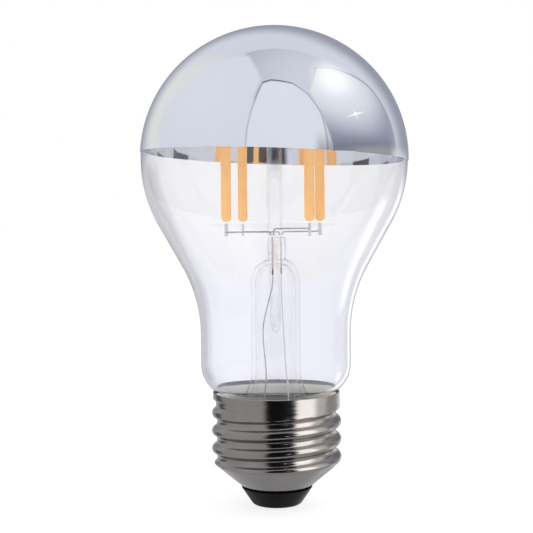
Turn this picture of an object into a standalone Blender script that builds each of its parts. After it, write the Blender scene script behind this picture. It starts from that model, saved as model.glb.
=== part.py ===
# Half-mirror filament LED lamp with a 26 mm screw cap.
#
# The origin is the middle of the flat underside of the centre contact. The lamp's axis is +Z,
# from the contact up to the mirrored crown, and the front of the lamp looks towards -Y.
# Sizes are written in millimetres times MM, so every value in the file is in metres.

import math

import bmesh
import bpy
from mathutils import Matrix, Vector

MM = 0.001
TAU = 2 * math.pi
BEND_STEPS = 2

# Clearance between any two pieces that touch, seal or seat on each other.
GAP = 0.3 * MM

# Screw cap: a rolled sheet shell with a round thread, a plain collar and a conical foot.
CAP_RIM_Z = 23.3 * MM
CAP_WALL = 0.3 * MM
COLLAR_HEIGHT = 2.7 * MM
THREAD_PITCH = 3.629 * MM
THREAD_MAJOR_R = 13.2 * MM
THREAD_DEPTH = 1.07 * MM
THREAD_CREST_DROP = 6.0 * MM
THREAD_RUNOUT = 1.4 * MM
COLLAR_STEP = 0.3 * MM
FOOT_R = 7.3 * MM
FOOT_Z = 4.3 * MM
FOOT_SLOPE = 1.18
FOOT_BLEND = 0.5 * MM
CAP_SEGMENTS = 36
ROWS_PER_PITCH = 8

# Insulator and centre contact under the shell.
INSULATOR_TOP_Z = 6.7 * MM
INSULATOR_BOTTOM_Z = 0.3 * MM
INSULATOR_BOTTOM_R = 5.4 * MM
INSULATOR_EDGE = 1.1 * MM
BORE_R = 1.5 * MM
FUNNEL_DEPTH = 1.2 * MM
CONTACT_HEAD = 0.7 * MM
CONTACT_R = 3.0 * MM
CONTACT_FLAT_R = 2.1 * MM
CONTACT_DOME = 0.4 * MM
CONTACT_SHANK_TOP = 4.0 * MM
CONTACT_TIP = 0.4 * MM

# Glass envelope: a ball with a slightly flat crown, a cone that touches it, a hollow curve into the
# neck, a round shoulder and a seat in the cap.
GLASS_WALL = 0.7 * MM
BALL_R = 26.9 * MM
CROWN_FLAT = 0.4 * MM
CONE_ANGLE = math.radians(29)
NECK_R = 15.25 * MM
NECK_ARC_R = 28.0 * MM
NECK_STRAIGHT = 6.2 * MM
SHOULDER_R = 6.6 * MM
SHOULDER_RISE = 5.7 * MM
SEAT_FILLET = 1.0 * MM
SEAT_DEPTH = 4.0 * MM
CEMENT_LEAST = 0.33 * MM
GLASS_SEGMENTS = 28
CROWN_ROWS = 9

# Mirror coating on the crown. Its edge is a plane that dips towards +X.
MIRROR_FILM = 0.2 * MM
MIRROR_EDGE_RISE = 0.5 * MM
MIRROR_TILT = math.radians(2.35)

# Glass stem: flare, tube, pinched press, exhaust tube and support rod.
STEM_R = 5.0 * MM
STEM_WALL = 0.9 * MM
FLARE_HEIGHT = 8.5 * MM
PRESS_TOP_DROP = 15.6 * MM
PRESS_HEIGHT = 4.4 * MM
PRESS_SHOULDER = 4.9 * MM
PRESS_THICK = 2.6 * MM
PRESS_WIDE = 7.6 * MM
PRESS_SQUARENESS = 0.2
PRESS_SHIFT = 0.4 * MM
PRESS_TURN = math.radians(-20)
PRESS_EDGE = 0.4 * MM
CAVITY_RISE = 3.8 * MM
CAVITY_ROOM = 0.3 * MM
EXHAUST_R = 1.15 * MM
EXHAUST_BORE_R = 0.6 * MM
EXHAUST_LENGTH = 13.7 * MM
ROD_R = 1.57 * MM
BEAD_R = 2.1 * MM
BEAD_HEIGHT = 4.4 * MM

# Filaments and the wires that carry them.
FILAMENT_COUNT = 4
FILAMENT_R = 0.82 * MM
FILAMENT_LENGTH = 30.0 * MM
FILAMENT_RING_R = 11.67 * MM
FILAMENT_TURN = math.radians(35)
FILAMENT_DROP = 12.5 * MM
TAB_WIDTH = 0.7 * MM
TAB_THICK = 0.25 * MM
TAB_LENGTH = 2.5 * MM
ARM_R = 0.15 * MM
ARM_RISE = 1.1 * MM
BRANCH_RISE = 0.65 * MM
ARM_PAST_TAB = 0.6 * MM
ARM_SPREAD = 0.4 * MM
SEAL_R = 0.18 * MM
SEAL_SPACING = 5.2 * MM
SEAL_BELOW_CAVITY = 2.0 * MM
OUTER_WIRE_R = 0.15 * MM
OUTER_STRAIGHT = 1.8 * MM
OUTER_INSET = 1.2 * MM
TOP_WIRE_SPACING = 1.4 * MM

# Driver in the cap.
BOARD_WIDTH = 15.0 * MM
BOARD_THICK = 1.0 * MM
BOARD_FRONT_Y = 2.6 * MM
BOARD_BELOW_GLASS = 1.7 * MM
PAD_X = 2.6 * MM
PAD_DROP = 1.1 * MM
PAD_LEAD = 1.5 * MM
CAN_R = 3.15 * MM
CAN_X = -5.2 * MM
CAN_BEFORE_BOARD = 1.85 * MM
CAN_HEADROOM = 1.6 * MM
CAN_LEAD_PITCH = 2.5 * MM
CAN_LEAD_RISE = 0.9 * MM
CAN_EDGE = 0.25 * MM
CAN_CRIMP_DROP = 1.6 * MM
FUSE_R = 1.4 * MM
FUSE_X = 5.6 * MM
FUSE_BEFORE_BOARD = 4.2 * MM
FUSE_RISE = 2.2 * MM
FUSE_HEADROOM = 2.4 * MM
FUSE_LEAD_RISE = 1.4 * MM
COMPONENT_WIRE_R = 0.25 * MM
SIDE_WIRE_INSET = 0.8 * MM
SIDE_WIRE_DROP = 2.2 * MM

# Parts on the back of the board: (place across, width, depth), heights as shares of the board.
RECTIFIER = (-3.9 * MM, 4.7 * MM, 1.5 * MM)
DRIVER_CHIP = (3.3 * MM, 4.9 * MM, 1.4 * MM)
CHIP_RESISTORS = (-4.5 * MM, 3.2 * MM, 0.6 * MM), (4.5 * MM, 3.2 * MM, 0.6 * MM)
CHIP_CAPACITOR = (0.0, 3.2 * MM, 1.2 * MM)
UPPER_ROW, UPPER_HEIGHT = 0.7, 0.32
LOWER_ROW, LOWER_HEIGHT = 0.2, 0.15
LEG_WIDTH = 0.5 * MM
LEG_REACH = 0.075

# Sizes that follow from the ones above.
THREAD_MINOR_R = THREAD_MAJOR_R - THREAD_DEPTH
THREAD_ARC_R = (THREAD_PITCH ** 2 / 4 + THREAD_DEPTH ** 2) / (4 * THREAD_DEPTH)
THREAD_CREST_Z = CAP_RIM_Z - THREAD_CREST_DROP
COLLAR_R = THREAD_MAJOR_R - COLLAR_STEP
COLLAR_Z = CAP_RIM_Z - COLLAR_HEIGHT
FOOT_TOP_Z = FOOT_Z + (THREAD_MAJOR_R - FOOT_R) / FOOT_SLOPE
SEAT_R = THREAD_MINOR_R - CAP_WALL - 2 * GAP - CEMENT_LEAST
NECK_END_Z = CAP_RIM_Z - SEAT_DEPTH
SHOULDER_Z = CAP_RIM_Z + SHOULDER_RISE
NECK_ARC_Z = SHOULDER_Z + NECK_STRAIGHT
CONE_TOP_R = BALL_R * math.cos(CONE_ANGLE)
CONE_FOOT_R = NECK_R + NECK_ARC_R * (1 - math.cos(CONE_ANGLE))
CONE_HEIGHT = (CONE_TOP_R - CONE_FOOT_R) / math.tan(CONE_ANGLE)
BALL_Z = NECK_ARC_Z + (BALL_R + NECK_ARC_R) * math.sin(CONE_ANGLE) + CONE_HEIGHT
CROWN_HEIGHT = BALL_R - CROWN_FLAT
STEM_BORE_R = STEM_R - STEM_WALL
FLARE_R = SEAT_R - GLASS_WALL - GAP
PRESS_TOP_Z = BALL_Z - PRESS_TOP_DROP
PRESS_Z = PRESS_TOP_Z - PRESS_HEIGHT
TUBE_TOP_Z = PRESS_Z - PRESS_SHOULDER
CAVITY_TOP_Z = TUBE_TOP_Z + CAVITY_RISE
FILAMENT_Z = BALL_Z - FILAMENT_DROP
FILAMENT_TOP_Z = FILAMENT_Z + FILAMENT_LENGTH
ARM_Z = PRESS_TOP_Z + ARM_RISE
LAP = TAB_THICK / 2 + GAP + ARM_R
BOARD_Z = INSULATOR_TOP_Z + GAP
BOARD_TOP_Z = NECK_END_Z - BOARD_BELOW_GLASS
BOARD_HEIGHT = BOARD_TOP_Z - BOARD_Z
BOARD_BACK_Y = BOARD_FRONT_Y + BOARD_THICK
PAD_Y = BOARD_FRONT_Y - GAP
CAN_XY = (CAN_X, BOARD_FRONT_Y - CAN_BEFORE_BOARD - CAN_R)
CAN_HEIGHT = BOARD_HEIGHT - CAN_HEADROOM
FUSE_XY = (FUSE_X, BOARD_FRONT_Y - FUSE_BEFORE_BOARD - FUSE_R)
FUSE_HEIGHT = BOARD_HEIGHT - FUSE_RISE - FUSE_HEADROOM


def clear_scene():
    for old in list(bpy.data.objects):
        bpy.data.objects.remove(old, do_unlink=True)


def make_material(name, color, roughness, metallic=0.0, transmission=0.0):
    material = bpy.data.materials.new(name)
    material.use_nodes = True
    shader = material.node_tree.nodes["Principled BSDF"]
    shader.inputs["Base Color"].default_value = (*color, 1.0)
    shader.inputs["Roughness"].default_value = roughness
    shader.inputs["Metallic"].default_value = metallic
    shader.inputs["Transmission Weight"].default_value = transmission
    material.diffuse_color = (*color, 1.0)
    return material


def add_object(name, data, material=None):
    obj = bpy.data.objects.new(name, data)
    bpy.context.scene.collection.objects.link(obj)
    if material:
        data.materials.append(material)
    return obj


def finish_mesh(name, shape, material, smooth_angle=40):
    """Turns a bmesh into an object, with smooth shading up to the given angle."""
    mesh = bpy.data.meshes.new(name)
    shape.to_mesh(mesh)
    shape.free()
    mesh.shade_smooth()
    mesh.set_sharp_from_angle(angle=math.radians(smooth_angle))
    return add_object(name, mesh, material)


def arc(centre, radius, start, end, steps):
    """Points (r, z) on an arc from start to end degrees, both ends included."""
    points = []
    for step in range(steps + 1):
        angle = math.radians(start + (end - start) * step / steps)
        points.append((centre[0] + radius * math.cos(angle), centre[1] + radius * math.sin(angle)))
    return points


def turned(name, profile, material, segments=20, close=True):
    """Spins a profile of (r, z) points about the Z axis. A closed profile gives a solid."""
    shape = bmesh.new()
    verts = [shape.verts.new((r, 0.0, z)) for r, z in profile]
    edges = [shape.edges.new(pair) for pair in zip(verts, verts[1:])]
    if close and min(profile[0][0], profile[-1][0]) > 0:
        edges.append(shape.edges.new((verts[-1], verts[0])))
    bmesh.ops.spin(
        shape, geom=verts + edges, cent=(0, 0, 0), axis=(0, 0, 1), angle=TAU, steps=segments, use_merge=True
    )
    bmesh.ops.remove_doubles(shape, verts=shape.verts, dist=1e-7)
    bmesh.ops.recalc_face_normals(shape, faces=shape.faces)
    return finish_mesh(name, shape, material)


def add_wall(obj, thickness):
    """Gives an open skin its wall, grown inwards from the skin."""
    wall = obj.modifiers.new("Wall", "SOLIDIFY")
    wall.thickness = thickness
    wall.offset = -1.0
    wall.use_even_offset = True


def wire(name, points, radius, material, bend=0.6 * MM):
    """A round wire along the points, with each corner rounded by a short curve."""
    path = [Vector(points[0])]
    for before, corner, after in zip(points, points[1:], points[2:]):
        before, corner, after = Vector(before), Vector(corner), Vector(after)
        into = min(bend, (corner - before).length * 0.45)
        out = min(bend, (after - corner).length * 0.45)
        first = corner + (before - corner).normalized() * into
        last = corner + (after - corner).normalized() * out
        for step in range(BEND_STEPS + 1):
            t = step / BEND_STEPS
            path.append(first * (1 - t) ** 2 + corner * (2 * t * (1 - t)) + last * t ** 2)
    path.append(Vector(points[-1]))
    curve = bpy.data.curves.new(name, "CURVE")
    curve.dimensions = "3D"
    curve.twist_mode = "MINIMUM"
    curve.bevel_depth = radius
    curve.bevel_resolution = 1
    curve.use_fill_caps = True
    spline = curve.splines.new("POLY")
    spline.points.add(len(path) - 1)
    for target, point in zip(spline.points, path):
        target.co = (*point, 1.0)
    return add_object(name, curve, material)


def block(name, centre, size, material, bevel=0.0):
    """A box about its centre, with its edges bevelled if a width is given."""
    shape = bmesh.new()
    bmesh.ops.create_cube(shape, size=1.0, matrix=Matrix.Diagonal((*size, 1.0)))
    obj = finish_mesh(name, shape, material, smooth_angle=20)
    obj.location = centre
    if bevel:
        edge = obj.modifiers.new("Edge", "BEVEL")
        edge.width = bevel
        edge.segments = 1
    return obj


def make_tool(obj):
    """Marks a cutter or a joining shape, which is no piece of the lamp."""
    obj.hide_render = True
    obj.display_type = "WIRE"
    return obj


def combine(obj, tool, operation):
    change = obj.modifiers.new(operation.title(), "BOOLEAN")
    change.operation = operation
    change.object = tool
    change.solver = "EXACT"


def drill(obj, name, radius, start, end, segments=12):
    """Cuts a round hole from start to end, given in the object's own frame."""
    start, end = Vector(start), Vector(end)
    along = end - start
    shape = bmesh.new()
    placing = Matrix.Translation((start + end) / 2) @ along.to_track_quat("Z", "Y").to_matrix().to_4x4()
    bmesh.ops.create_cone(
        shape, cap_ends=True, segments=segments, radius1=radius, radius2=radius, depth=along.length,
        matrix=placing,
    )
    cutter = make_tool(finish_mesh(name, shape, None))
    cutter.parent = obj
    combine(obj, cutter, "DIFFERENCE")


def smooth_step(value):
    value = min(max(value, 0.0), 1.0)
    return value * value * (3 - 2 * value)


def thread_radius(angle, z):
    """Round thread of two tangent arcs, right-handed, by angle about Z and height."""
    turns = (z - THREAD_CREST_Z) / THREAD_PITCH - angle / TAU
    from_crest = abs(turns - round(turns)) * THREAD_PITCH
    if from_crest <= THREAD_PITCH / 4:
        return THREAD_MAJOR_R - THREAD_ARC_R + math.sqrt(THREAD_ARC_R ** 2 - from_crest ** 2)
    from_root = THREAD_PITCH / 2 - from_crest
    return THREAD_MINOR_R + THREAD_ARC_R - math.sqrt(THREAD_ARC_R ** 2 - from_root ** 2)


def foot_radius(z):
    return FOOT_R + (z - FOOT_Z) * FOOT_SLOPE


def shell_radius(angle, z):
    """Outside of the cap: thread, fading into the collar above and cut by the foot's cone below."""
    fade = smooth_step((z - COLLAR_Z + THREAD_RUNOUT) / THREAD_RUNOUT)
    barrel = thread_radius(angle, z) * (1 - fade) + COLLAR_R * fade
    cone = foot_radius(z)
    near = max(FOOT_BLEND - abs(barrel - cone), 0.0) / FOOT_BLEND
    return min(barrel, cone) - near * near * FOOT_BLEND / 4


def shell_heights():
    """Rows of the shell from its rim down to the edge of its foot."""
    heights = [CAP_RIM_Z, (CAP_RIM_Z + COLLAR_Z) / 2]
    rows = math.ceil((COLLAR_Z - FOOT_TOP_Z) / THREAD_PITCH * ROWS_PER_PITCH)
    for row in range(rows + 1):
        heights.append(COLLAR_Z + (FOOT_TOP_Z - COLLAR_Z) * row / rows)
    for row in range(1, 5):
        heights.append(FOOT_TOP_Z + (FOOT_Z - FOOT_TOP_Z) * row / 4)
    return heights


def make_cap_shell(material):
    shape = bmesh.new()
    rings = []
    for z in shell_heights():
        ring = []
        for segment in range(CAP_SEGMENTS):
            angle = TAU * segment / CAP_SEGMENTS
            radius = shell_radius(angle, z)
            ring.append(shape.verts.new((radius * math.cos(angle), radius * math.sin(angle), z)))
        rings.append(ring)
    for upper, lower in zip(rings, rings[1:]):
        for segment in range(CAP_SEGMENTS):
            beside = (segment + 1) % CAP_SEGMENTS
            shape.faces.new((upper[segment], lower[segment], lower[beside], upper[beside]))
    add_wall(finish_mesh("cap_shell", shape, material), CAP_WALL)


def make_insulator(material):
    """Black cone under the shell, held by a flange inside the shell's foot. The contact sits in it."""
    inset = (CAP_WALL + GAP) * math.sqrt(1 + FOOT_SLOPE ** 2)
    waist_r = FOOT_R - CAP_WALL - GAP
    waist_z = FOOT_Z + (waist_r + inset - FOOT_R) / FOOT_SLOPE
    recess_r = CONTACT_R + GAP
    recess_z = CONTACT_HEAD + GAP
    cone_z = FOOT_Z - GAP
    profile = [(BORE_R, recess_z), (recess_r, recess_z), (recess_r, INSULATOR_BOTTOM_Z)]
    edge_centre = (INSULATOR_BOTTOM_R - INSULATOR_EDGE, INSULATOR_BOTTOM_Z + INSULATOR_EDGE)
    profile += arc(edge_centre, INSULATOR_EDGE, -90, 0, 2)
    profile += [
        (FOOT_R, cone_z),
        (waist_r, cone_z),
        (waist_r, waist_z),
        (foot_radius(INSULATOR_TOP_Z) - inset, INSULATOR_TOP_Z),
        (BORE_R + FUNNEL_DEPTH, INSULATOR_TOP_Z),
        (BORE_R, INSULATOR_TOP_Z - FUNNEL_DEPTH),
    ]
    turned("insulator", profile, material, segments=24)


def make_centre_contact(material):
    """Domed tack with a flat middle, its shank up the insulator's bore."""
    profile = [(0, 0), (CONTACT_FLAT_R, 0)]
    for step in range(1, 4):
        angle = math.radians(30 * step)
        profile.append((
            CONTACT_FLAT_R + (CONTACT_R - CONTACT_FLAT_R) * math.sin(angle),
            CONTACT_DOME * (1 - math.cos(angle)),
        ))
    shank_r = BORE_R - GAP
    profile += [
        (CONTACT_R, CONTACT_HEAD),
        (shank_r, CONTACT_HEAD),
        (shank_r, CONTACT_SHANK_TOP - CONTACT_TIP),
        (shank_r - CONTACT_TIP, CONTACT_SHANK_TOP),
        (0, CONTACT_SHANK_TOP),
    ]
    turned("centre_contact", profile, material, segments=24)


def make_cement(material):
    """Ring of cement between the glass seat and the collar, stepped where the thread starts."""
    inner = SEAT_R + GAP
    profile = [
        (inner, NECK_END_Z),
        (inner + CEMENT_LEAST, NECK_END_Z),
        (inner + CEMENT_LEAST, COLLAR_Z + GAP),
        (COLLAR_R - CAP_WALL - GAP, COLLAR_Z + GAP),
        (COLLAR_R - CAP_WALL - GAP, CAP_RIM_Z - 2 * GAP),
        (inner + SEAT_FILLET / 2, CAP_RIM_Z - 2 * GAP),
        (inner, CAP_RIM_Z - SEAT_FILLET - 2 * GAP),
    ]
    turned("cap_cement", profile, material, segments=CAP_SEGMENTS)


def make_envelope(material):
    """Blown glass: the outer skin is a chain of tangent arcs, and the wall grows inwards."""
    shoulder_centre = (NECK_R - SHOULDER_R, SHOULDER_Z)
    fillet_r = SEAT_R + SEAT_FILLET
    across = fillet_r - shoulder_centre[0]
    drop = math.sqrt((SHOULDER_R + SEAT_FILLET) ** 2 - across ** 2)
    fillet_centre = (fillet_r, SHOULDER_Z - drop)
    shoulder_end = math.degrees(math.atan2(-drop, across))
    cone = math.degrees(CONE_ANGLE)
    skin = [(SEAT_R, NECK_END_Z)]
    skin += arc(fillet_centre, SEAT_FILLET, 180, 180 + shoulder_end, 2)
    skin += arc(shoulder_centre, SHOULDER_R, shoulder_end, 0, 5)[1:]
    skin += arc((NECK_R + NECK_ARC_R, NECK_ARC_Z), NECK_ARC_R, 180, 180 - cone, 4)
    skin += arc((0, BALL_Z), BALL_R, -cone, 0, 3)
    crown = arc((0, 0), BALL_R, 0, 90, CROWN_ROWS)[1:-1]
    skin += [(r, BALL_Z + z * CROWN_HEIGHT / BALL_R) for r, z in crown]
    skin.append((0, BALL_Z + CROWN_HEIGHT))
    add_wall(turned("glass_envelope", skin, material, segments=GLASS_SEGMENTS, close=False), GLASS_WALL)


def make_mirror(material):
    """Thin cup over the crown, in step with the glass, each column ending on the tilted edge plane."""
    radius = BALL_R + GAP + MIRROR_FILM
    height = CROWN_HEIGHT + GAP + MIRROR_FILM
    shape = bmesh.new()
    top = shape.verts.new((0, 0, BALL_Z + height))
    columns = []
    for segment in range(GLASS_SEGMENTS):
        angle = TAU * segment / GLASS_SEGMENTS
        edge_z = MIRROR_EDGE_RISE - math.tan(MIRROR_TILT) * BALL_R * math.cos(angle)
        edge_polar = math.acos(edge_z / height)
        column = []
        for row in range(1, CROWN_ROWS + 1):
            polar = TAU / 4 * row / CROWN_ROWS if row < CROWN_ROWS else edge_polar
            across = radius * math.sin(polar)
            point = (across * math.cos(angle), across * math.sin(angle), BALL_Z + height * math.cos(polar))
            column.append(shape.verts.new(point))
        columns.append(column)
    for column, beside in zip(columns, columns[1:] + columns[:1]):
        shape.faces.new((top, column[0], beside[0]))
        for row in range(CROWN_ROWS - 1):
            shape.faces.new((column[row], column[row + 1], beside[row + 1], beside[row]))
    add_wall(finish_mesh("mirror_coating", shape, material), MIRROR_FILM)


def stem_section(shape, z, half_thick, half_wide, squareness, shift, sides=20):
    """One ring of the stem: an ellipse at squareness 0, a rounded slab at squareness 1."""
    power = 2 / (2 + 2 * squareness)
    ring = []
    for side in range(sides):
        angle = TAU * side / sides
        x = math.copysign(abs(math.cos(angle)) ** power, math.cos(angle))
        y = math.copysign(abs(math.sin(angle)) ** power, math.sin(angle))
        ring.append(shape.verts.new((shift + half_thick * x, half_wide * y, z)))
    return ring


def pinch_ring(shape, radius, thick, wide, rise, share, shift):
    """A ring of the dome that leads from the round tube up to a flatter end of the given size."""
    last = math.acos(thick / radius)
    angle = last * share
    pinch = (1 - math.cos(angle)) / (1 - math.cos(last))
    half_wide = radius + (wide - radius) * pinch
    z = TUBE_TOP_Z + rise * math.sin(angle) / math.sin(last)
    return stem_section(
        shape, z, radius * math.cos(angle), half_wide, PRESS_SQUARENESS * pinch, shift * pinch
    )


def make_stem(material):
    """Flare, tube and press in one glass piece, open at the flare's mouth."""
    half_thick = PRESS_THICK / 2
    half_wide = PRESS_WIDE / 2
    shape = bmesh.new()
    outside = []
    for step in range(6):
        angle = math.radians(90 * step / 5)
        radius = FLARE_R - (FLARE_R - STEM_R) * math.sin(angle)
        z = NECK_END_Z + STEM_WALL + (FLARE_HEIGHT - STEM_WALL) * (1 - math.cos(angle))
        outside.append(stem_section(shape, z, radius, radius, 0, 0))
    for step in range(6):
        share = step / 5
        ring = pinch_ring(shape, STEM_R, half_thick, half_wide, PRESS_SHOULDER, share, PRESS_SHIFT)
        outside.append(ring)
    for z, inset in ((PRESS_TOP_Z - PRESS_EDGE, 0.0), (PRESS_TOP_Z, PRESS_EDGE)):
        ring = stem_section(shape, z, half_thick - inset, half_wide - inset, PRESS_SQUARENESS, PRESS_SHIFT)
        outside.append(ring)
    inside = []
    for step in range(6):
        angle = math.radians(90 * step / 5)
        radius = FLARE_R - (FLARE_R - STEM_BORE_R) * math.sin(angle)
        z = NECK_END_Z + FLARE_HEIGHT * (1 - math.cos(angle))
        inside.append(stem_section(shape, z, radius, radius, 0, 0))
    roof = EXHAUST_R + GAP + CAVITY_ROOM
    roof_wide = STEM_BORE_R - 2 * CAVITY_ROOM
    for step in range(4):
        inside.append(pinch_ring(shape, STEM_BORE_R, roof, roof_wide, CAVITY_RISE, step / 3, 0))
    rings = list(reversed(inside)) + outside
    for ring, following in zip(rings, rings[1:]):
        for side in range(len(ring)):
            beside = (side + 1) % len(ring)
            shape.faces.new((ring[side], ring[beside], following[beside], following[side]))
    shape.faces.new(inside[-1])
    shape.faces.new(outside[-1])
    bmesh.ops.recalc_face_normals(shape, faces=shape.faces)
    stem = finish_mesh("stem_flare", shape, material)
    stem.rotation_euler.z = PRESS_TURN
    for sign, label in ((-1, "near"), (1, "far")):
        at = (PRESS_SHIFT, sign * SEAL_SPACING / 2)
        drill(stem, label + "_seal_hole", SEAL_R + GAP, (*at, CAVITY_TOP_Z - GAP), (*at, PRESS_TOP_Z + GAP))
    port_z = PRESS_Z + EXHAUST_BORE_R
    drill(stem, "exhaust_passage", EXHAUST_BORE_R, (0, 0, CAVITY_TOP_Z - GAP), (0, 0, port_z))
    drill(stem, "exhaust_port", EXHAUST_BORE_R, (0, 0, port_z), (-PRESS_THICK, 0, port_z))


def make_exhaust_tube(material):
    """Stub of the pumping tube: open at the top, under the press, and drawn shut at its lower tip."""
    top = CAVITY_TOP_Z - GAP
    tip = top - EXHAUST_LENGTH
    shoulder = tip + 2 * EXHAUST_R
    profile = [(0, tip), (EXHAUST_R / 3, tip + EXHAUST_R / 6), (EXHAUST_R / 2, tip + EXHAUST_R / 2)]
    profile += [(EXHAUST_R * 0.85, tip + EXHAUST_R), (EXHAUST_R, shoulder), (EXHAUST_R, top)]
    profile += [(EXHAUST_BORE_R, top), (EXHAUST_BORE_R, shoulder), (0, tip + EXHAUST_R)]
    turned("exhaust_tube", profile, material, segments=16)


def top_wire_height(index):
    """The two top wires cross in the rod's bead, one above the other."""
    return FILAMENT_TOP_Z + GAP + TAB_LENGTH / 2 + (index - 0.5) * TOP_WIRE_SPACING


def make_support_rod(material):
    bead_z = top_wire_height(0.5)
    profile = [(0, PRESS_TOP_Z + GAP), (ROD_R, PRESS_TOP_Z + GAP)]
    for step in range(1, 7):
        angle = math.radians(-55 + 145 * step / 6)
        profile.append((BEAD_R * math.cos(angle), bead_z + BEAD_HEIGHT / 2 * math.sin(angle)))
    profile[-1] = (0, bead_z + BEAD_HEIGHT / 2)
    profile.insert(2, (ROD_R, bead_z - BEAD_HEIGHT / 2))
    rod = turned("support_rod", profile, material, segments=20)
    for index in range(2):
        along, aside = filament_frame(index)
        middle = aside * LAP + Vector((0, 0, top_wire_height(index)))
        reach = along * BEAD_R * 1.5
        drill(rod, f"top_wire_hole_{index + 1}", ARM_R + GAP, middle - reach, middle + reach)


def filament_frame(index):
    """Unit vectors outwards to a filament and sideways past it."""
    angle = FILAMENT_TURN + TAU * index / FILAMENT_COUNT
    outward = Vector((math.cos(angle), math.sin(angle), 0))
    return outward, Vector((-outward.y, outward.x, 0))


def make_filament(index, phosphor, metal):
    """One phosphor-coated filament with a flat metal tab at each end."""
    outward, aside = filament_frame(index)
    name = f"filament_{index + 1}"
    end = FILAMENT_R * 0.8
    low = arc((0, 0), 1, -90, 0, 3)
    profile = [(FILAMENT_R * r, end * (1 + z)) for r, z in low]
    profile += [(r, FILAMENT_LENGTH - z) for r, z in reversed(profile)]
    profile[0] = (0, 0)
    profile[-1] = (0, FILAMENT_LENGTH)
    body = turned(name, profile, phosphor, segments=12)
    body.location = outward * FILAMENT_RING_R + Vector((0, 0, FILAMENT_Z))
    low_z = -GAP - TAB_LENGTH / 2
    for label, z in (("lower", low_z), ("upper", FILAMENT_LENGTH - low_z)):
        size = (TAB_WIDTH, TAB_THICK, TAB_LENGTH)
        tab = block(f"{label}_tab_{index + 1}", (0, 0, z), size, metal, bevel=0.06 * MM)
        tab.rotation_euler.z = math.atan2(outward.y, outward.x)
        tab.parent = body


def make_top_wires(metal):
    """Each top wire runs straight across, past the upper tabs of two opposite filaments."""
    for index in range(2):
        along, aside = filament_frame(index)
        middle = aside * LAP + Vector((0, 0, top_wire_height(index)))
        reach = along * (FILAMENT_RING_R + ARM_PAST_TAB)
        wire(f"top_wire_{index + 1}", [middle - reach, middle + reach], ARM_R, metal)


def make_lead(label, sign, filaments, branch_rise, outer_route, metals):
    """A lead through the press: a seal wire, two arms above it and a thin outer wire below it.

    The branch wire, to the second filament, runs higher than the arm wire by branch_rise.
    The outer wire runs between the exhaust tube and the stem's wall: its route is a list of
    (angle in degrees, height as a share of the way up from the flare's mouth).
    """
    turn = Matrix.Rotation(PRESS_TURN, 3, "Z")
    at = turn @ Vector((PRESS_SHIFT, sign * SEAL_SPACING / 2, 0))
    seal_top = PRESS_TOP_Z + GAP / 3
    seal_low = CAVITY_TOP_Z - SEAL_BELOW_CAVITY
    nickel, sealing, copper = metals
    ends = [at + Vector((0, 0, seal_low)), at + Vector((0, 0, seal_top))]
    wire(f"{label}_seal_wire", ends, SEAL_R, sealing)
    for name, index, rise in zip(("arm", "branch"), filaments, (0.0, branch_rise)):
        outward, aside = filament_frame(index)
        tab = outward * FILAMENT_RING_R
        side = math.copysign(1, (at - tab).dot(aside))
        lap = tab + aside * side * LAP
        direction = (lap - at).normalized()
        root = at + direction * ARM_SPREAD
        run_z = ARM_Z + rise
        points = [
            root + Vector((0, 0, seal_top + GAP)),
            root + Vector((0, 0, run_z)),
            lap + Vector((0, 0, run_z)),
            lap + outward * ARM_PAST_TAB + Vector((0, 0, run_z)),
        ]
        wire(f"{label}_{name}_wire", points, ARM_R, nickel)
    straight_z = seal_low - OUTER_STRAIGHT
    mouth_z = NECK_END_Z + GAP
    pad_z = BOARD_TOP_Z - PAD_DROP
    ring_r = STEM_BORE_R - OUTER_INSET
    route = [at + Vector((0, 0, seal_low - GAP)), at + Vector((0, 0, straight_z))]
    for degrees, height in outer_route:
        angle = math.radians(degrees)
        z = mouth_z + (straight_z - mouth_z) * height
        route.append(Vector((ring_r * math.cos(angle), ring_r * math.sin(angle), z)))
    pad_x = math.copysign(PAD_X, sign)
    route.append(Vector((pad_x, PAD_Y - PAD_LEAD, pad_z + GAP)))
    route.append(Vector((pad_x, PAD_Y, pad_z)))
    wire(f"{label}_outer_wire", route, OUTER_WIRE_R, copper, bend=ring_r)


def make_component(name, place, row, share, material, legs=0):
    """A chip on the back of the board. Legs, if any, stand out above and below it."""
    x, width, depth = place
    height = share * BOARD_HEIGHT
    centre = (x, BOARD_BACK_Y + GAP + depth / 2, BOARD_Z + row * BOARD_HEIGHT)
    chip = block(name, centre, (width, depth, height), material, bevel=0.12 * MM)
    if not legs:
        return
    leg_size = (LEG_WIDTH, depth / 3, height + 2 * LEG_REACH * BOARD_HEIGHT, 1.0)
    shape = bmesh.new()
    for leg in range(legs):
        across = ((leg + 0.5) / legs - 0.5) * width
        placing = Matrix.Translation((across, -depth / 4, 0)) @ Matrix.Diagonal(leg_size)
        bmesh.ops.create_cube(shape, size=1.0, matrix=placing)
    tool = make_tool(finish_mesh(name + "_legs", shape, None))
    tool.parent = chip
    combine(chip, tool, "UNION")


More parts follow.
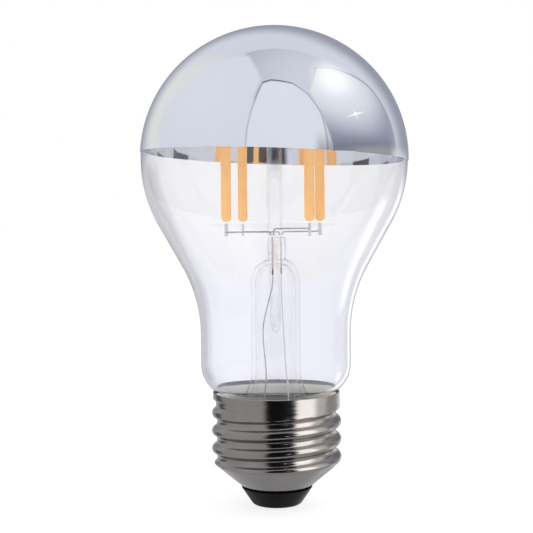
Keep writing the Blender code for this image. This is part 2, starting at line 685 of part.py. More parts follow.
def make_driver(board_green, moulding, aluminium, ceramic, copper, sleeve):
    """Driver board standing on the insulator, with the parts that it carries."""
    middle = (0, BOARD_FRONT_Y + BOARD_THICK / 2, BOARD_Z + BOARD_HEIGHT / 2)
    block("driver_board", middle, (BOARD_WIDTH, BOARD_THICK, BOARD_HEIGHT), board_green, bevel=0.2 * MM)
    make_component("bridge_rectifier", RECTIFIER, UPPER_ROW, UPPER_HEIGHT, moulding, legs=2)
    make_component("driver_chip", DRIVER_CHIP, UPPER_ROW, UPPER_HEIGHT, moulding, legs=4)
    make_component("chip_resistor_1", CHIP_RESISTORS[0], LOWER_ROW, LOWER_HEIGHT, ceramic)
    make_component("chip_resistor_2", CHIP_RESISTORS[1], LOWER_ROW, LOWER_HEIGHT, ceramic)
    make_component("chip_capacitor", CHIP_CAPACITOR, LOWER_ROW, LOWER_HEIGHT, ceramic)

    crimp_z = CAN_HEIGHT - CAN_CRIMP_DROP
    profile = [
        (0, 0),
        (CAN_R - CAN_EDGE, 0),
        (CAN_R, CAN_EDGE),
        (CAN_R, crimp_z - 2 * CAN_EDGE),
        (CAN_R - CAN_EDGE, crimp_z),
        (CAN_R, crimp_z + 2 * CAN_EDGE),
        (CAN_R, CAN_HEIGHT - CAN_EDGE),
        (CAN_R - CAN_EDGE, CAN_HEIGHT),
        (CAN_R - 3 * CAN_EDGE, CAN_HEIGHT - CAN_EDGE),
        (0, CAN_HEIGHT - CAN_EDGE),
    ]
    can = turned("capacitor_can", profile, aluminium, segments=20)
    can.location = (*CAN_XY, BOARD_Z)
    can_top = BOARD_Z + CAN_HEIGHT
    lead_z = can_top + CAN_LEAD_RISE
    for number, sign in ((1, -1), (2, 1)):
        x = CAN_XY[0] + sign * CAN_LEAD_PITCH / 2
        lead = [(x, CAN_XY[1], can_top), (x, CAN_XY[1], lead_z), (x, PAD_Y, lead_z)]
        wire(f"capacitor_lead_{number}", lead, COMPONENT_WIRE_R, aluminium)

    fuse_low = BOARD_Z + FUSE_RISE
    fuse_top = fuse_low + FUSE_HEIGHT
    waist = FUSE_R * 0.85
    cheek = FUSE_HEIGHT / 5
    profile = [(0, 0), (FUSE_R * 0.6, 0), (FUSE_R, cheek / 2), (FUSE_R, cheek), (waist, cheek * 1.5)]
    profile += [(r, FUSE_HEIGHT - z) for r, z in reversed(profile)]
    fuse = turned("fuse_resistor", profile, sleeve, segments=16)
    fuse.location = (*FUSE_XY, fuse_low)
    over = fuse_top + GAP + FUSE_LEAD_RISE
    lead = [(*FUSE_XY, fuse_top + GAP), (*FUSE_XY, over), (FUSE_XY[0], PAD_Y, over)]
    wire("fuse_board_wire", lead, COMPONENT_WIRE_R, copper)
    under = INSULATOR_TOP_Z + 3 * GAP
    lead = [
        (*FUSE_XY, fuse_low - GAP),
        (*FUSE_XY, under),
        (0, 0, under),
        (0, 0, CONTACT_SHANK_TOP + GAP),
    ]
    wire("contact_wire", lead, COMPONENT_WIRE_R, copper)


def make_side_wire(copper):
    """From the board's edge to the inner side of the shell, in the bottom of a thread groove."""
    groove_z = THREAD_CREST_Z
    reach = THREAD_MINOR_R - CAP_WALL - GAP
    x = -BOARD_WIDTH / 2 + SIDE_WIRE_INSET
    z = BOARD_TOP_Z - SIDE_WIRE_DROP
    lead = [(x, PAD_Y, z), (x, PAD_Y / 2, z), ((x - reach) / 2, 0, groove_z), (-reach, 0, groove_z)]
    wire("side_wire", lead, COMPONENT_WIRE_R, copper)


def build():
    clear_scene()
    glass = make_material("clear_glass", (0.95, 0.96, 0.98), 0.02, transmission=1.0)
    mirror = make_material("mirror_silver", (0.86, 0.87, 0.9), 0.04, metallic=1.0)
    nickel_cap = make_material("dark_nickel", (0.42, 0.40, 0.39), 0.18, metallic=1.0)
    black_glass = make_material("black_insulator", (0.012, 0.013, 0.016), 0.25)
    tin = make_material("tinned_contact", (0.62, 0.62, 0.64), 0.3, metallic=1.0)
    cement = make_material("cap_cement", (0.55, 0.54, 0.47), 0.9)
    phosphor = make_material("phosphor_yellow", (0.92, 0.52, 0.17), 0.5)
    nickel = make_material("nickel_wire", (0.5, 0.49, 0.48), 0.3, metallic=1.0)
    sealing = make_material("seal_wire", (0.62, 0.3, 0.24), 0.35, metallic=1.0)
    copper = make_material("tinned_copper", (0.6, 0.55, 0.5), 0.35, metallic=1.0)
    board_green = make_material("board_green", (0.05, 0.22, 0.1), 0.5)
    moulding = make_material("chip_black", (0.02, 0.02, 0.022), 0.45)
    aluminium = make_material("capacitor_aluminium", (0.75, 0.75, 0.77), 0.25, metallic=1.0)
    ceramic = make_material("chip_ceramic", (0.35, 0.27, 0.2), 0.5)
    sleeve = make_material("resistor_coating", (0.12, 0.3, 0.33), 0.5)

    make_envelope(glass)
    make_mirror(mirror)
    make_stem(glass)
    make_exhaust_tube(glass)
    make_support_rod(glass)
    for index in range(FILAMENT_COUNT):
        make_filament(index, phosphor, nickel)
    make_top_wires(nickel)

    metals = (nickel, sealing, copper)
    near_route = [(-110, 0.92), (-151, 0.69), (-153, 0.53), (-130, 0.3), (-152, 0)]
    far_route = [(61, 0.8), (47, 0.35), (20, 0)]
    make_lead("near", -1, (2, 3), BRANCH_RISE, near_route, metals)
    make_lead("far", 1, (0, 1), 0.0, far_route, metals)

    make_cap_shell(nickel_cap)
    make_cement(cement)
    make_insulator(black_glass)
    make_centre_contact(tin)
    make_driver(board_green, moulding, aluminium, ceramic, copper, sleeve)
    make_side_wire(copper)


build()
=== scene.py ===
from math import acos, asin, atan2, copysign, cos, degrees, hypot, pi, radians, sin, sqrt, tan

import bpy
import bmesh
from mathutils import Matrix, Vector


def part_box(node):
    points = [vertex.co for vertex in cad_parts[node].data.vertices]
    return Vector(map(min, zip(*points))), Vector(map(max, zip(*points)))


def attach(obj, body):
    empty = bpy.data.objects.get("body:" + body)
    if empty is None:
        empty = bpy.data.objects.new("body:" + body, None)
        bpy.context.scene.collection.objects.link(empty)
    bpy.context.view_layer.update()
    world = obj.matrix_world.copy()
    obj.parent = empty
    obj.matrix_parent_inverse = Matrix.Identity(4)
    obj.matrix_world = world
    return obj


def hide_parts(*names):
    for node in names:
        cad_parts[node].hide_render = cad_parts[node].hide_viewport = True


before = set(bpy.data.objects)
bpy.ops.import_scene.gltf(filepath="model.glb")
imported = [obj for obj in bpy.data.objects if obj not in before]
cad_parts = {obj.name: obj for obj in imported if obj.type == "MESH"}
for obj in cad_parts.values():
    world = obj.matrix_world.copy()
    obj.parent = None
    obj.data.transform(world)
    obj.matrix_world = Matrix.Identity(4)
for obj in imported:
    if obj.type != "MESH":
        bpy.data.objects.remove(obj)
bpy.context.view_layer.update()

mm = 0.001
fullTurn = 2 * pi
print("frame loaded:", len(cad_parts), "nodes")


# Modelling helpers: outlines are (radius, height) in millimetres, places are in metres

def clearSelection():
    if bpy.context.mode != "OBJECT":
        bpy.ops.object.mode_set(mode="OBJECT")
    bpy.ops.object.select_all(action="DESELECT")


def selectOnly(piece):
    clearSelection()
    piece.select_set(True)
    bpy.context.view_layer.objects.active = piece


def arcPoints(centre, radius, start, end, steps):
    points = []
    for step in range(steps + 1):
        angle = radians(start + (end - start) * step / steps)
        points.append((centre[0] + radius * cos(angle), centre[1] + radius * sin(angle)))
    return points


def smoothStep(value):
    value = min(max(value, 0.0), 1.0)
    return value * value * (3 - 2 * value)


def quarterCurve(start, end, low, high, steps):
    # a quarter of an ellipse that sets out level from the first radius and ends upright at the second
    points = []
    for step in range(steps + 1):
        angle = radians(90 * step / steps)
        points.append((start + (end - start) * sin(angle), low + (high - low) * (1 - cos(angle))))
    return points


def pickAll():
    bpy.ops.mesh.select_all(action="SELECT")


def pickParts(piece, test, verts=False):
    # selects, in edit mode, the edges or verts that pass the test
    shape = bmesh.from_edit_mesh(piece.data)
    for part in shape.verts if verts else shape.edges:
        part.select_set(test(part))
    if verts:
        shape.select_flush(True)
    bmesh.update_edit_mesh(piece.data)


def drawLine(name, places):
    # a small plane is merged to one point, and the line is drawn from it by extruding
    clearSelection()
    bpy.ops.mesh.primitive_plane_add(size=mm)
    piece = bpy.context.active_object
    piece.name = name
    piece.data.name = name
    bpy.ops.object.mode_set(mode="EDIT")
    bpy.ops.mesh.select_mode(type="VERT")
    pickAll()
    bpy.ops.mesh.merge(type="CENTER")
    bpy.ops.transform.translate(value=places[0])
    for before, after in zip(places, places[1:]):
        step = Vector(after) - Vector(before)
        bpy.ops.mesh.extrude_vertices_move(TRANSFORM_OT_translate={"value": step})
    return piece


def drawSheet(name, places, reach):
    # a line drawn out sideways or upwards into a sheet
    piece = drawLine(name, places)
    pickAll()
    bpy.ops.mesh.extrude_region_move(TRANSFORM_OT_translate={"value": reach})
    bpy.ops.object.mode_set(mode="OBJECT")
    return piece


def smoothPiece(piece, angle):
    selectOnly(piece)
    bpy.ops.object.shade_smooth_by_angle(angle=radians(angle))


def turnOutline(name, outline, turns, closed=True, smoothAngle=35):
    places = [Vector((r * mm, 0, z * mm)) for r, z in outline]
    piece = drawLine(name, places)
    if closed and min(outline[0][0], outline[-1][0]) > 0:
        ends = (places[0], places[-1])
        pickParts(piece, lambda vert: min((vert.co - end).length for end in ends) < 1e-7, verts=True)
        bpy.ops.mesh.edge_face_add()
    pickAll()
    bpy.ops.mesh.spin(steps=turns, angle=fullTurn, center=(0, 0, 0), axis=(0, 0, 1))
    pickAll()
    bpy.ops.mesh.remove_doubles(threshold=1e-6)
    bpy.ops.mesh.normals_make_consistent(inside=False)
    smoothPiece(piece, smoothAngle)
    return piece


def applyModifier(piece, kind, **settings):
    selectOnly(piece)
    modifier = piece.modifiers.new(kind.title(), kind)
    for key, value in settings.items():
        setattr(modifier, key, value)
    bpy.ops.object.modifier_apply(modifier=modifier.name)


def giveWall(piece, thickness, outwards=False):
    offset = 1.0 if outwards else -1.0
    applyModifier(piece, "SOLIDIFY", thickness=thickness * mm, offset=offset, use_even_offset=True)


def placePiece(piece, rotation=0.0, place=(0, 0, 0)):
    selectOnly(piece)
    piece.rotation_euler.z = rotation
    piece.location = place
    bpy.ops.object.transform_apply(location=True, rotation=True, scale=True)


def copyPiece(source, name):
    selectOnly(source)
    bpy.ops.object.duplicate(linked=False)
    copy = bpy.context.active_object
    copy.name = name
    copy.data.name = name
    return copy


def bendRoute(corners, bend, steps=6):
    # rounds each corner of a wire's route with a short curve, which takes less than half of each leg
    most = 0.45
    path = [Vector(corners[0])]
    for before, corner, after in zip(corners, corners[1:], corners[2:]):
        before, corner, after = Vector(before), Vector(corner), Vector(after)
        first = corner + (before - corner).normalized() * min(bend, (corner - before).length * most)
        last = corner + (after - corner).normalized() * min(bend, (after - corner).length * most)
        for step in range(steps + 1):
            t = step / steps
            path.append(first * (1 - t) ** 2 + corner * (2 * t * (1 - t)) + last * t ** 2)
    path.append(Vector(corners[-1]))
    return path


def drawWire(name, route, radius, bend=0.6):
    # the route, in millimetres, becomes a curve with a round section and then a mesh
    piece = drawLine(name, [point * mm for point in bendRoute(route, bend)])
    selectOnly(piece)
    bpy.ops.object.convert(target="CURVE")
    piece.data.bevel_depth = radius * mm
    piece.data.bevel_resolution = 3
    piece.data.use_fill_caps = True
    bpy.ops.object.convert(target="MESH")
    smoothPiece(piece, 50)
    return piece


def settlePiece(piece, finish, node):
    piece.data.materials.clear()
    piece.data.materials.append(finishes[finish])
    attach(piece, "root")
    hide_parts(node)


# Node helpers

def setInputs(node, inputs):
    # what comes from another node is linked
    for key, value in inputs.items():
        if isinstance(value, bpy.types.NodeSocket):
            node.id_data.links.new(value, node.inputs[key])
        else:
            node.inputs[key].default_value = value


def addNode(tree, kind, inputs=None, **settings):
    node = tree.nodes.new("ShaderNode" + kind)
    for key, value in settings.items():
        setattr(node, key, value)
    setInputs(node, inputs or {})
    return node


def doMath(tree, operation, first, *others):
    # more than two values are taken one after the other
    for other in others or (0.0,):
        first = addNode(tree, "Math", {0: first, 1: other}, operation=operation).outputs[0]
    return first


def mapValue(tree, value, low, high, newLow=0.0, newHigh=1.0, smooth=False):
    kind = "SMOOTHSTEP" if smooth else "LINEAR"
    inputs = {"Value": value, "From Min": low, "From Max": high, "To Min": newLow, "To Max": newHigh}
    return addNode(tree, "MapRange", inputs, interpolation_type=kind).outputs["Result"]


def easeValue(tree, *values):
    return mapValue(tree, *values, smooth=True)


def mixColours(tree, share, *colours):
    # sockets 0, 6 and 7 are the share and the two colours, and output 2 is the mixed colour
    first, second = [c if isinstance(c, bpy.types.NodeSocket) else (*c, 1.0) for c in colours]
    return addNode(tree, "Mix", {0: share, 6: first, 7: second}, data_type="RGBA").outputs[2]


def mixShaders(tree, share, first, second):
    return addNode(tree, "MixShader", {0: share, 1: first.outputs[0], 2: second.outputs[0]})


def showMixed(tree, share, first, second):
    mixed = mixShaders(tree, share, first, second)
    setInputs(tree.nodes["Material Output"], {"Surface": mixed.outputs[0]})


def addGlow(tree, strength):
    return addNode(tree, "Emission", {"Color": (1, 1, 1, 1), "Strength": strength})


def readPlace(tree):
    return addNode(tree, "TexCoord").outputs["Object"]


def splitPlace(tree, place):
    return addNode(tree, "SeparateXYZ", {0: place}).outputs


def addBump(tree, shader, height, strength, distance):
    # a bump is laid over the normal that the shader already has
    inputs = {"Height": height, "Strength": strength, "Distance": distance}
    if shader.inputs["Normal"].links:
        inputs["Normal"] = shader.inputs["Normal"].links[0].from_socket
    setInputs(shader, {"Normal": addNode(tree, "Bump", inputs).outputs[0]})


def startGroup(name, inputs, outputs):
    group = bpy.data.node_groups.new(name, "ShaderNodeTree")
    for label, value in inputs.items():
        socket = group.interface.new_socket(label, in_out="INPUT", socket_type="NodeSocketFloat")
        socket.default_value = value
    for label, kind in outputs.items():
        group.interface.new_socket(label, in_out="OUTPUT", socket_type=kind)
    return group, group.nodes.new("NodeGroupInput"), group.nodes.new("NodeGroupOutput")


def buildSurfaceGrain():
    # fine grain and larger clouds over the surface, both from 0 to 1
    outputs = {"Grain": "NodeSocketFloat", "Clouds": "NodeSocketFloat"}
    group, given, out = startGroup("surfaceGrain", {"Grain Scale": 4000.0, "Cloud Scale": 150.0}, outputs)
    place = readPlace(group)
    fine = addNode(group, "TexNoise", {"Vector": place, "Scale": given.outputs[0], "Detail": 3.0})
    wide = addNode(group, "TexNoise", {"Vector": place, "Scale": given.outputs[1], "Detail": 4.0})
    grain = mapValue(group, fine.outputs[0], 0.3, 0.7)
    setInputs(out, {"Grain": grain, "Clouds": easeValue(group, wide.outputs[0], 0.3, 0.7)})
    return group


def buildTurnedMarks():
    # fine marks that run round the lamp's axis: each row tips the normal a little sideways and up or down
    outputs = {"Normal": "NodeSocketVector", "Marks": "NodeSocketFloat"}
    inputs = {"Rows": 9000.0, "Sideways": 0.1, "Upright": 0.03}
    group, given, out = startGroup("turnedMarks", inputs, outputs)
    split = splitPlace(group, readPlace(group))
    across = [doMath(group, "MULTIPLY", split[axis], 70.0) for axis in (0, 1)]
    rows = doMath(group, "MULTIPLY", split[2], given.outputs["Rows"])
    stretched = addNode(group, "CombineXYZ", {0: across[0], 1: across[1], 2: rows}).outputs[0]
    noise = addNode(group, "TexNoise", {"Vector": stretched, "Scale": 1.0, "Detail": 2.0})
    shares = addNode(group, "SeparateColor", {0: noise.outputs["Color"]})
    normal = addNode(group, "NewGeometry").outputs["Normal"]
    up = (0.0, 0.0, 1.0)
    sideways = addNode(group, "VectorMath", {0: up, 1: normal}, operation="CROSS_PRODUCT").outputs[0]
    tips = []
    for along, share, amount in ((sideways, 0, "Sideways"), (up, 1, "Upright")):
        centred = doMath(group, "SUBTRACT", shares.outputs[share], 0.5)
        inputs = {0: along, "Scale": doMath(group, "MULTIPLY", centred, given.outputs[amount])}
        tips.append(addNode(group, "VectorMath", inputs, operation="SCALE").outputs[0])
    for tip in tips:
        normal = addNode(group, "VectorMath", {0: normal, 1: tip}, operation="ADD").outputs[0]
    normal = addNode(group, "VectorMath", {0: normal}, operation="NORMALIZE").outputs[0]
    setInputs(out, {"Normal": normal, "Marks": noise.outputs[0]})
    return group


surfaceGrain = buildSurfaceGrain()
turnedMarks = buildTurnedMarks()


def placeGrain(tree, grain, clouds):
    inputs = {"Grain Scale": grain, "Cloud Scale": clouds}
    return addNode(tree, "Group", inputs, node_tree=surfaceGrain).outputs


def startMaterial(name, roughness, metallic=0.0):
    material = bpy.data.materials.new(name)
    material.use_nodes = True
    tree = material.node_tree
    shader = tree.nodes["Principled BSDF"]
    setInputs(shader, {"Roughness": roughness, "Metallic": metallic})
    return material, tree, shader


def grainedMaterial(
    name, light, dark, roughness, metallic=0.0, grain=4000, clouds=150, bump=0.05, spread=0.08, extra=None
):
    # a plain finish whose colour, gloss and surface change a little from place to place
    material, tree, shader = startMaterial(name, roughness, metallic)
    surface = placeGrain(tree, grain, clouds)
    rough = mapValue(tree, surface["Clouds"], 0, 1, roughness + spread, max(roughness - spread, 0.02))
    setInputs(shader, {"Base Color": mixColours(tree, surface["Clouds"], dark, light), "Roughness": rough})
    setInputs(shader, extra or {})
    addBump(tree, shader, surface["Grain"], bump, 0.02 * mm)
    return material


# Plain finishes: their lighter and darker colour, how rough and metallic they are, and their grain
plainFinishes = dict(
    nickelWire=dict(light=(0.86, 0.86, 0.86), dark=(0.7, 0.7, 0.7), roughness=0.4, metallic=0.8),
    tabNickel=dict(light=(0.95, 0.95, 0.96), dark=(0.87, 0.87, 0.88), roughness=0.5, metallic=0.2),
    sealWire=dict(light=(1.0, 0.8, 0.75), dark=(0.95, 0.68, 0.62), roughness=0.5, metallic=0.4, clouds=500),
    tinnedCopper=dict(
        light=(0.84, 0.81, 0.78), dark=(0.66, 0.62, 0.59), roughness=0.4, metallic=0.8, clouds=600,
    ),
    tinnedContact=dict(
        light=(0.68, 0.68, 0.7), dark=(0.5, 0.5, 0.52), roughness=0.32, metallic=1.0,
        grain=2200, clouds=500, bump=0.3,
    ),
    blackInsulator=dict(
        light=(0.006, 0.0065, 0.009), dark=(0.003, 0.0035, 0.005), roughness=0.4,
        grain=2500, clouds=260, bump=0.25, extra={"Specular IOR Level": 0.13},
    ),
    phosphorYellow=dict(
        light=(0.97, 0.66, 0.27), dark=(0.93, 0.6, 0.23), roughness=0.42,
        grain=5200, clouds=420, bump=0.35, spread=0.06,
        # a little light goes in, and a faint painted glow makes the coat brighter than its lighting alone
        # gives
        extra={
            "Subsurface Weight": 0.1, "Subsurface Radius": (0.4 * mm, 0.25 * mm, 0.1 * mm),
            "Subsurface Scale": 1.0, "Emission Color": (1.0, 0.62, 0.24, 1.0), "Emission Strength": 0.2,
        },
    ),
    capCement=dict(light=(0.92, 0.9, 0.8), dark=(0.8, 0.77, 0.66), roughness=0.9, grain=1800, bump=0.8),
    boardGreen=dict(light=(0.06, 0.25, 0.12), dark=(0.04, 0.19, 0.09), roughness=0.45, grain=2600),
    chipBlack=dict(light=(0.03, 0.03, 0.033), dark=(0.018, 0.018, 0.02), roughness=0.5, bump=0.4),
    canAluminium=dict(light=(0.78, 0.78, 0.8), dark=(0.7, 0.7, 0.72), roughness=0.28, metallic=1.0),
    chipCeramic=dict(light=(0.4, 0.31, 0.23), dark=(0.32, 0.24, 0.18), roughness=0.5),
    resistorCoating=dict(light=(0.14, 0.34, 0.37), dark=(0.1, 0.27, 0.3), roughness=0.4),
)
finishes = {name: grainedMaterial(name, **look) for name, look in plainFinishes.items()}


# The sealing wire is oxidised dark below the press
sealDark = dict(reach=(49.4, 47.9), colour=(0.16, 0.08, 0.09))


def darkenSealWire():
    tree = finishes["sealWire"].node_tree
    shader = tree.nodes["Principled BSDF"]
    tint = shader.inputs["Base Color"].links[0].from_socket
    share = easeValue(tree, splitPlace(tree, readPlace(tree))[2], *[z * mm for z in sealDark["reach"]])
    setInputs(shader, {"Base Color": mixColours(tree, share, tint, sealDark["colour"])})


# Clear glass: its colour, the waver in it, and how much passes straight through, face on and at its edge
glassLooks = dict(
    bulbGlass=dict(colour=(0.98, 0.98, 0.994), waver=0.5, scale=60.0, depth=0.02),
    stemGlass=dict(colour=(0.985, 0.99, 0.995), waver=0.6, scale=180.0, depth=0.03, clear=(0.93, 0.2)),
    tubeGlass=dict(colour=(0.97, 0.975, 0.98), waver=0.4, scale=180.0, depth=0.02, clear=(0.75, 0.1)),
    rodGlass=dict(colour=(1.0, 1.0, 1.0), waver=0.6, scale=180.0, depth=0.03, clear=(0.82, 0.6)),
)
neckGlass = dict(colour=(0.93, 0.933, 0.972), reach=(62, 38))
pressGlass = dict(clear=0.76, blend=1, lumpScale=700.0, lumpDepth=0.35)


def buildGlass(name, neck=None, pressFoot=None):
    # lamp and diffuse rays go straight through, so that what is inside is lit
    look = glassLooks[name]
    material, tree, shader = startMaterial(name, 0.0)
    surface = placeGrain(tree, look["scale"] * 4, look["scale"])
    deeper = [value * 0.985 for value in look["colour"]]
    tint = mixColours(tree, surface["Clouds"], deeper, look["colour"])
    if neck:
        # the glass is a little deeper in colour towards the neck
        height = splitPlace(tree, readPlace(tree))[2]
        share = easeValue(tree, height, *[z * mm for z in neck["reach"]])
        tint = mixColours(tree, share, tint, neck["colour"])
    setInputs(shader, {"Base Color": tint, "Transmission Weight": 1.0, "IOR": 1.5})
    addBump(tree, shader, surface["Clouds"], look["waver"], look["depth"] * mm)
    path = addNode(tree, "LightPath").outputs
    lit = doMath(tree, "GREATER_THAN", path["Diffuse Depth"], 0.5)
    through = doMath(tree, "MAXIMUM", path["Is Shadow Ray"], path["Is Diffuse Ray"], lit)
    if "clear" in look:
        facing = addNode(tree, "LayerWeight", {"Blend": 0.5}).outputs["Facing"]
        share = mapValue(tree, facing, 0.7, 1.0, *look["clear"])
        if pressFoot:
            share = roughenPress(tree, shader, share, pressFoot)
        through = doMath(tree, "MAXIMUM", through, share)
    clear = addNode(tree, "BsdfTransparent")
    showMixed(tree, through, shader, clear)
    return material


def roughenPress(tree, shader, share, foot):
    # the pinched glass above the tube is lumpy and a little less clear
    place = readPlace(tree)
    height = splitPlace(tree, place)[2]
    reach = (foot - pressGlass["blend"]) * mm, foot * mm
    tube = easeValue(tree, height, *reach, 1.0, pressGlass["clear"])
    inputs = {"Vector": place, "Scale": pressGlass["lumpScale"], "Detail": 2.0}
    lumps = addNode(tree, "TexNoise", inputs).outputs[0]
    depth = easeValue(tree, height, *reach, 0.0, pressGlass["lumpDepth"] * mm)
    addBump(tree, shader, lumps, 1.0, depth)
    return doMath(tree, "MULTIPLY", share, tube)


mirrorLook = dict(
    dark=(0.87, 0.885, 0.92), light=(0.89, 0.905, 0.935), rough=(0.025, 0.04), grain=2600.0,
    clouds=90.0, bump=0.12,
)


def buildMirror():
    material, tree, shader = startMaterial("mirrorSilver", 0.03, 1.0)
    surface = placeGrain(tree, mirrorLook["grain"], mirrorLook["clouds"])
    colour = mixColours(tree, surface["Clouds"], mirrorLook["dark"], mirrorLook["light"])
    rough = mapValue(tree, surface["Grain"], 0, 1, *mirrorLook["rough"])
    setInputs(shader, {"Base Color": colour, "Roughness": rough})
    addBump(tree, shader, surface["Clouds"], mirrorLook["bump"], 0.02 * mm)
    return material


nickelLook = dict(
    dark=(0.255, 0.238, 0.225), light=(0.29, 0.27, 0.256), worn=(0.34, 0.32, 0.305), wear=0.35,
    rough=(0.12, 0.22), grain=3000.0, clouds=220.0, rows=6500.0, sideways=0.22, upright=0.07,
)


def buildNickel():
    material, tree, shader = startMaterial("darkNickel", 0.16, 1.0)
    inputs = {key: nickelLook[key.lower()] for key in ("Rows", "Sideways", "Upright")}
    turned = addNode(tree, "Group", inputs, node_tree=turnedMarks).outputs
    surface = placeGrain(tree, nickelLook["grain"], nickelLook["clouds"])
    base = mixColours(tree, surface["Clouds"], nickelLook["dark"], nickelLook["light"])
    worn = mapValue(tree, turned["Marks"], 0.35, 0.75, 0.0, nickelLook["wear"])
    colour = mixColours(tree, worn, base, nickelLook["worn"])
    rough = mapValue(tree, turned["Marks"], 0.3, 0.7, *nickelLook["rough"])
    setInputs(shader, {"Base Color": colour, "Roughness": rough, "Normal": turned["Normal"]})
    return material


darkenSealWire()
finishes["mirrorSilver"] = buildMirror()
finishes["darkNickel"] = buildNickel()
finishes["bulbGlass"] = buildGlass("bulbGlass", neck=neckGlass)
finishes["tubeGlass"] = buildGlass("tubeGlass")
finishes["rodGlass"] = buildGlass("rodGlass")
print("materials built")


# Camera, set by the outline of the lamp in the photograph
view = dict(place=(-0.00175, -0.2237, 0.05665), lens=74.36, pitch=-0.0353, roll=-0.0095)
cameraData = bpy.data.cameras.new("camera")
cameraData.lens = view["lens"]
cameraData.sensor_width = 36.0
cameraData.clip_start = 0.01
camera = bpy.data.objects.new("camera", cameraData)
bpy.context.scene.collection.objects.link(camera)
pitchTurn = Matrix.Rotation(pi / 2 + view["pitch"], 4, "X")
rollTurn = Matrix.Rotation(view["roll"], 4, "Z")
camera.matrix_world = Matrix.Translation(view["place"]) @ pitchTurn @ rollTurn
bpy.context.scene.camera = camera


# Glass envelope: a ball with a slightly flat crown, a cone, a hollow curve into the neck and a round shoulder
bulb = dict(
    wall=0.7, ball=26.9, crown=26.5, cone=29.0, neck=15.25, neckArc=28.0, straight=6.2,
    shoulder=6.6, shoulderRise=5.7, fillet=1.0, seat=10.9, seatDepth=4.0, turns=144,
)
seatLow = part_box("glass_envelope")[0].z / mm
rimZ = seatLow + bulb["seatDepth"]
shoulderZ = rimZ + bulb["shoulderRise"]
neckArcZ = shoulderZ + bulb["straight"]
coneTurn = radians(bulb["cone"])
coneFoot = bulb["neck"] + bulb["neckArc"] * (1 - cos(coneTurn))
coneHeight = (bulb["ball"] * cos(coneTurn) - coneFoot) / tan(coneTurn)
ballZ = neckArcZ + (bulb["ball"] + bulb["neckArc"]) * sin(coneTurn) + coneHeight


def crownPoints(grow, steps):
    crown = arcPoints((0, 0), 1.0, 0, 90, steps)[1:-1]
    radius, height = bulb["ball"] + grow, bulb["crown"] + grow
    return [(r * radius, ballZ + z * height) for r, z in crown] + [(0, ballZ + height)]


def makeBulb():
    filletR = bulb["seat"] + bulb["fillet"]
    shoulderR = bulb["neck"] - bulb["shoulder"]
    across = filletR - shoulderR
    drop = sqrt((bulb["shoulder"] + bulb["fillet"]) ** 2 - across ** 2)
    shoulderEnd = degrees(atan2(-drop, across))
    outline = [(bulb["seat"], seatLow)]
    outline += arcPoints((filletR, shoulderZ - drop), bulb["fillet"], 180, 180 + shoulderEnd, 6)
    outline += arcPoints((shoulderR, shoulderZ), bulb["shoulder"], shoulderEnd, 0, 12)[1:]
    neckArcR = coneFoot + bulb["neckArc"] * cos(coneTurn)
    outline += arcPoints((neckArcR, neckArcZ), bulb["neckArc"], 180, 180 - bulb["cone"], 14)
    outline += arcPoints((0, ballZ), bulb["ball"], -bulb["cone"], 0, 10)
    outline += crownPoints(0.0, 30)
    piece = turnOutline("glassEnvelope", outline, bulb["turns"], closed=False, smoothAngle=60)
    giveWall(piece, bulb["wall"])
    settlePiece(piece, "bulbGlass", "glass_envelope")


# Silver film on the crown, its edge a plane that dips to the right
film = dict(gap=0.03, thickness=0.12, edgeRise=0.5, tilt=2.35, below=8.0)


def makeMirror():
    outline = arcPoints((0, ballZ), bulb["ball"] + film["gap"], -film["below"], 0, 4)
    outline += crownPoints(film["gap"], 40)
    piece = turnOutline("mirrorCoating", outline, bulb["turns"], closed=False, smoothAngle=60)
    selectOnly(piece)
    bpy.ops.object.mode_set(mode="EDIT")
    pickAll()
    edge = Vector((0, 0, (ballZ + film["edgeRise"]) * mm))
    slope = Vector((sin(radians(film["tilt"])), 0, cos(radians(film["tilt"]))))
    bpy.ops.mesh.bisect(plane_co=edge, plane_no=slope, clear_inner=True)
    giveWall(piece, film["thickness"], outwards=True)
    smoothPiece(piece, 40)
    settlePiece(piece, "mirrorSilver", "mirror_coating")


makeBulb()
makeMirror()
print("envelope and mirror made")


# Stem: flare, tube and pinched press in one piece of glass
stem = dict(
    radius=5.0, wall=0.9, flare=9.9, flareHeight=8.5, pressDrop=15.6, pressHeight=4.4,
    shoulder=4.9, thick=1.3, wide=3.8, shift=0.4, turn=-20.0, squareness=0.2, edge=0.4,
    cavityRise=3.8, roof=1.75, roofWide=3.5, roofDrop=0.3, portR=0.6, turns=96,
)
gap = 0.3  # free room between two pieces that touch
pressTopZ = ballZ - stem["pressDrop"]
pressZ = pressTopZ - stem["pressHeight"]
tubeTopZ = pressZ - stem["shoulder"]
cavityTopZ = tubeTopZ + stem["cavityRise"]
stemBore = stem["radius"] - stem["wall"]
finishes["stemGlass"] = buildGlass("stemGlass", pressFoot=pressZ)
pressTurn = radians(stem["turn"])


def squeezeTube(piece, radius, thick, wide, rise, shift):
    # the round section above the tube's top turns to a flat oval: half its size across is thick by wide
    last = acos(thick / radius)
    edge = stem["edge"]
    for vert in piece.data.vertices:
        x, y, z = vert.co / mm
        lift = min((z - tubeTopZ) / rise, 1.0)
        if lift <= 0:
            continue
        angle = asin(lift * sin(last))
        pinch = (1 - cos(angle)) / (1 - cos(last))
        fromAxis = hypot(x, y)
        inset = min(radius - fromAxis, edge)
        share = min(fromAxis / (radius - edge), 1.0)
        power = 1 / (1 + stem["squareness"] * pinch)
        across, along = 0.0, 0.0
        if fromAxis > 1e-6:
            across = copysign(abs(x / fromAxis) ** power, x) * share
            along = copysign(abs(y / fromAxis) ** power, y) * share
        halfWide = radius + (wide - radius) * pinch
        vert.co.x = (across * (radius * cos(angle) - inset) + shift * pinch) * mm
        vert.co.y = along * (halfWide - inset) * mm


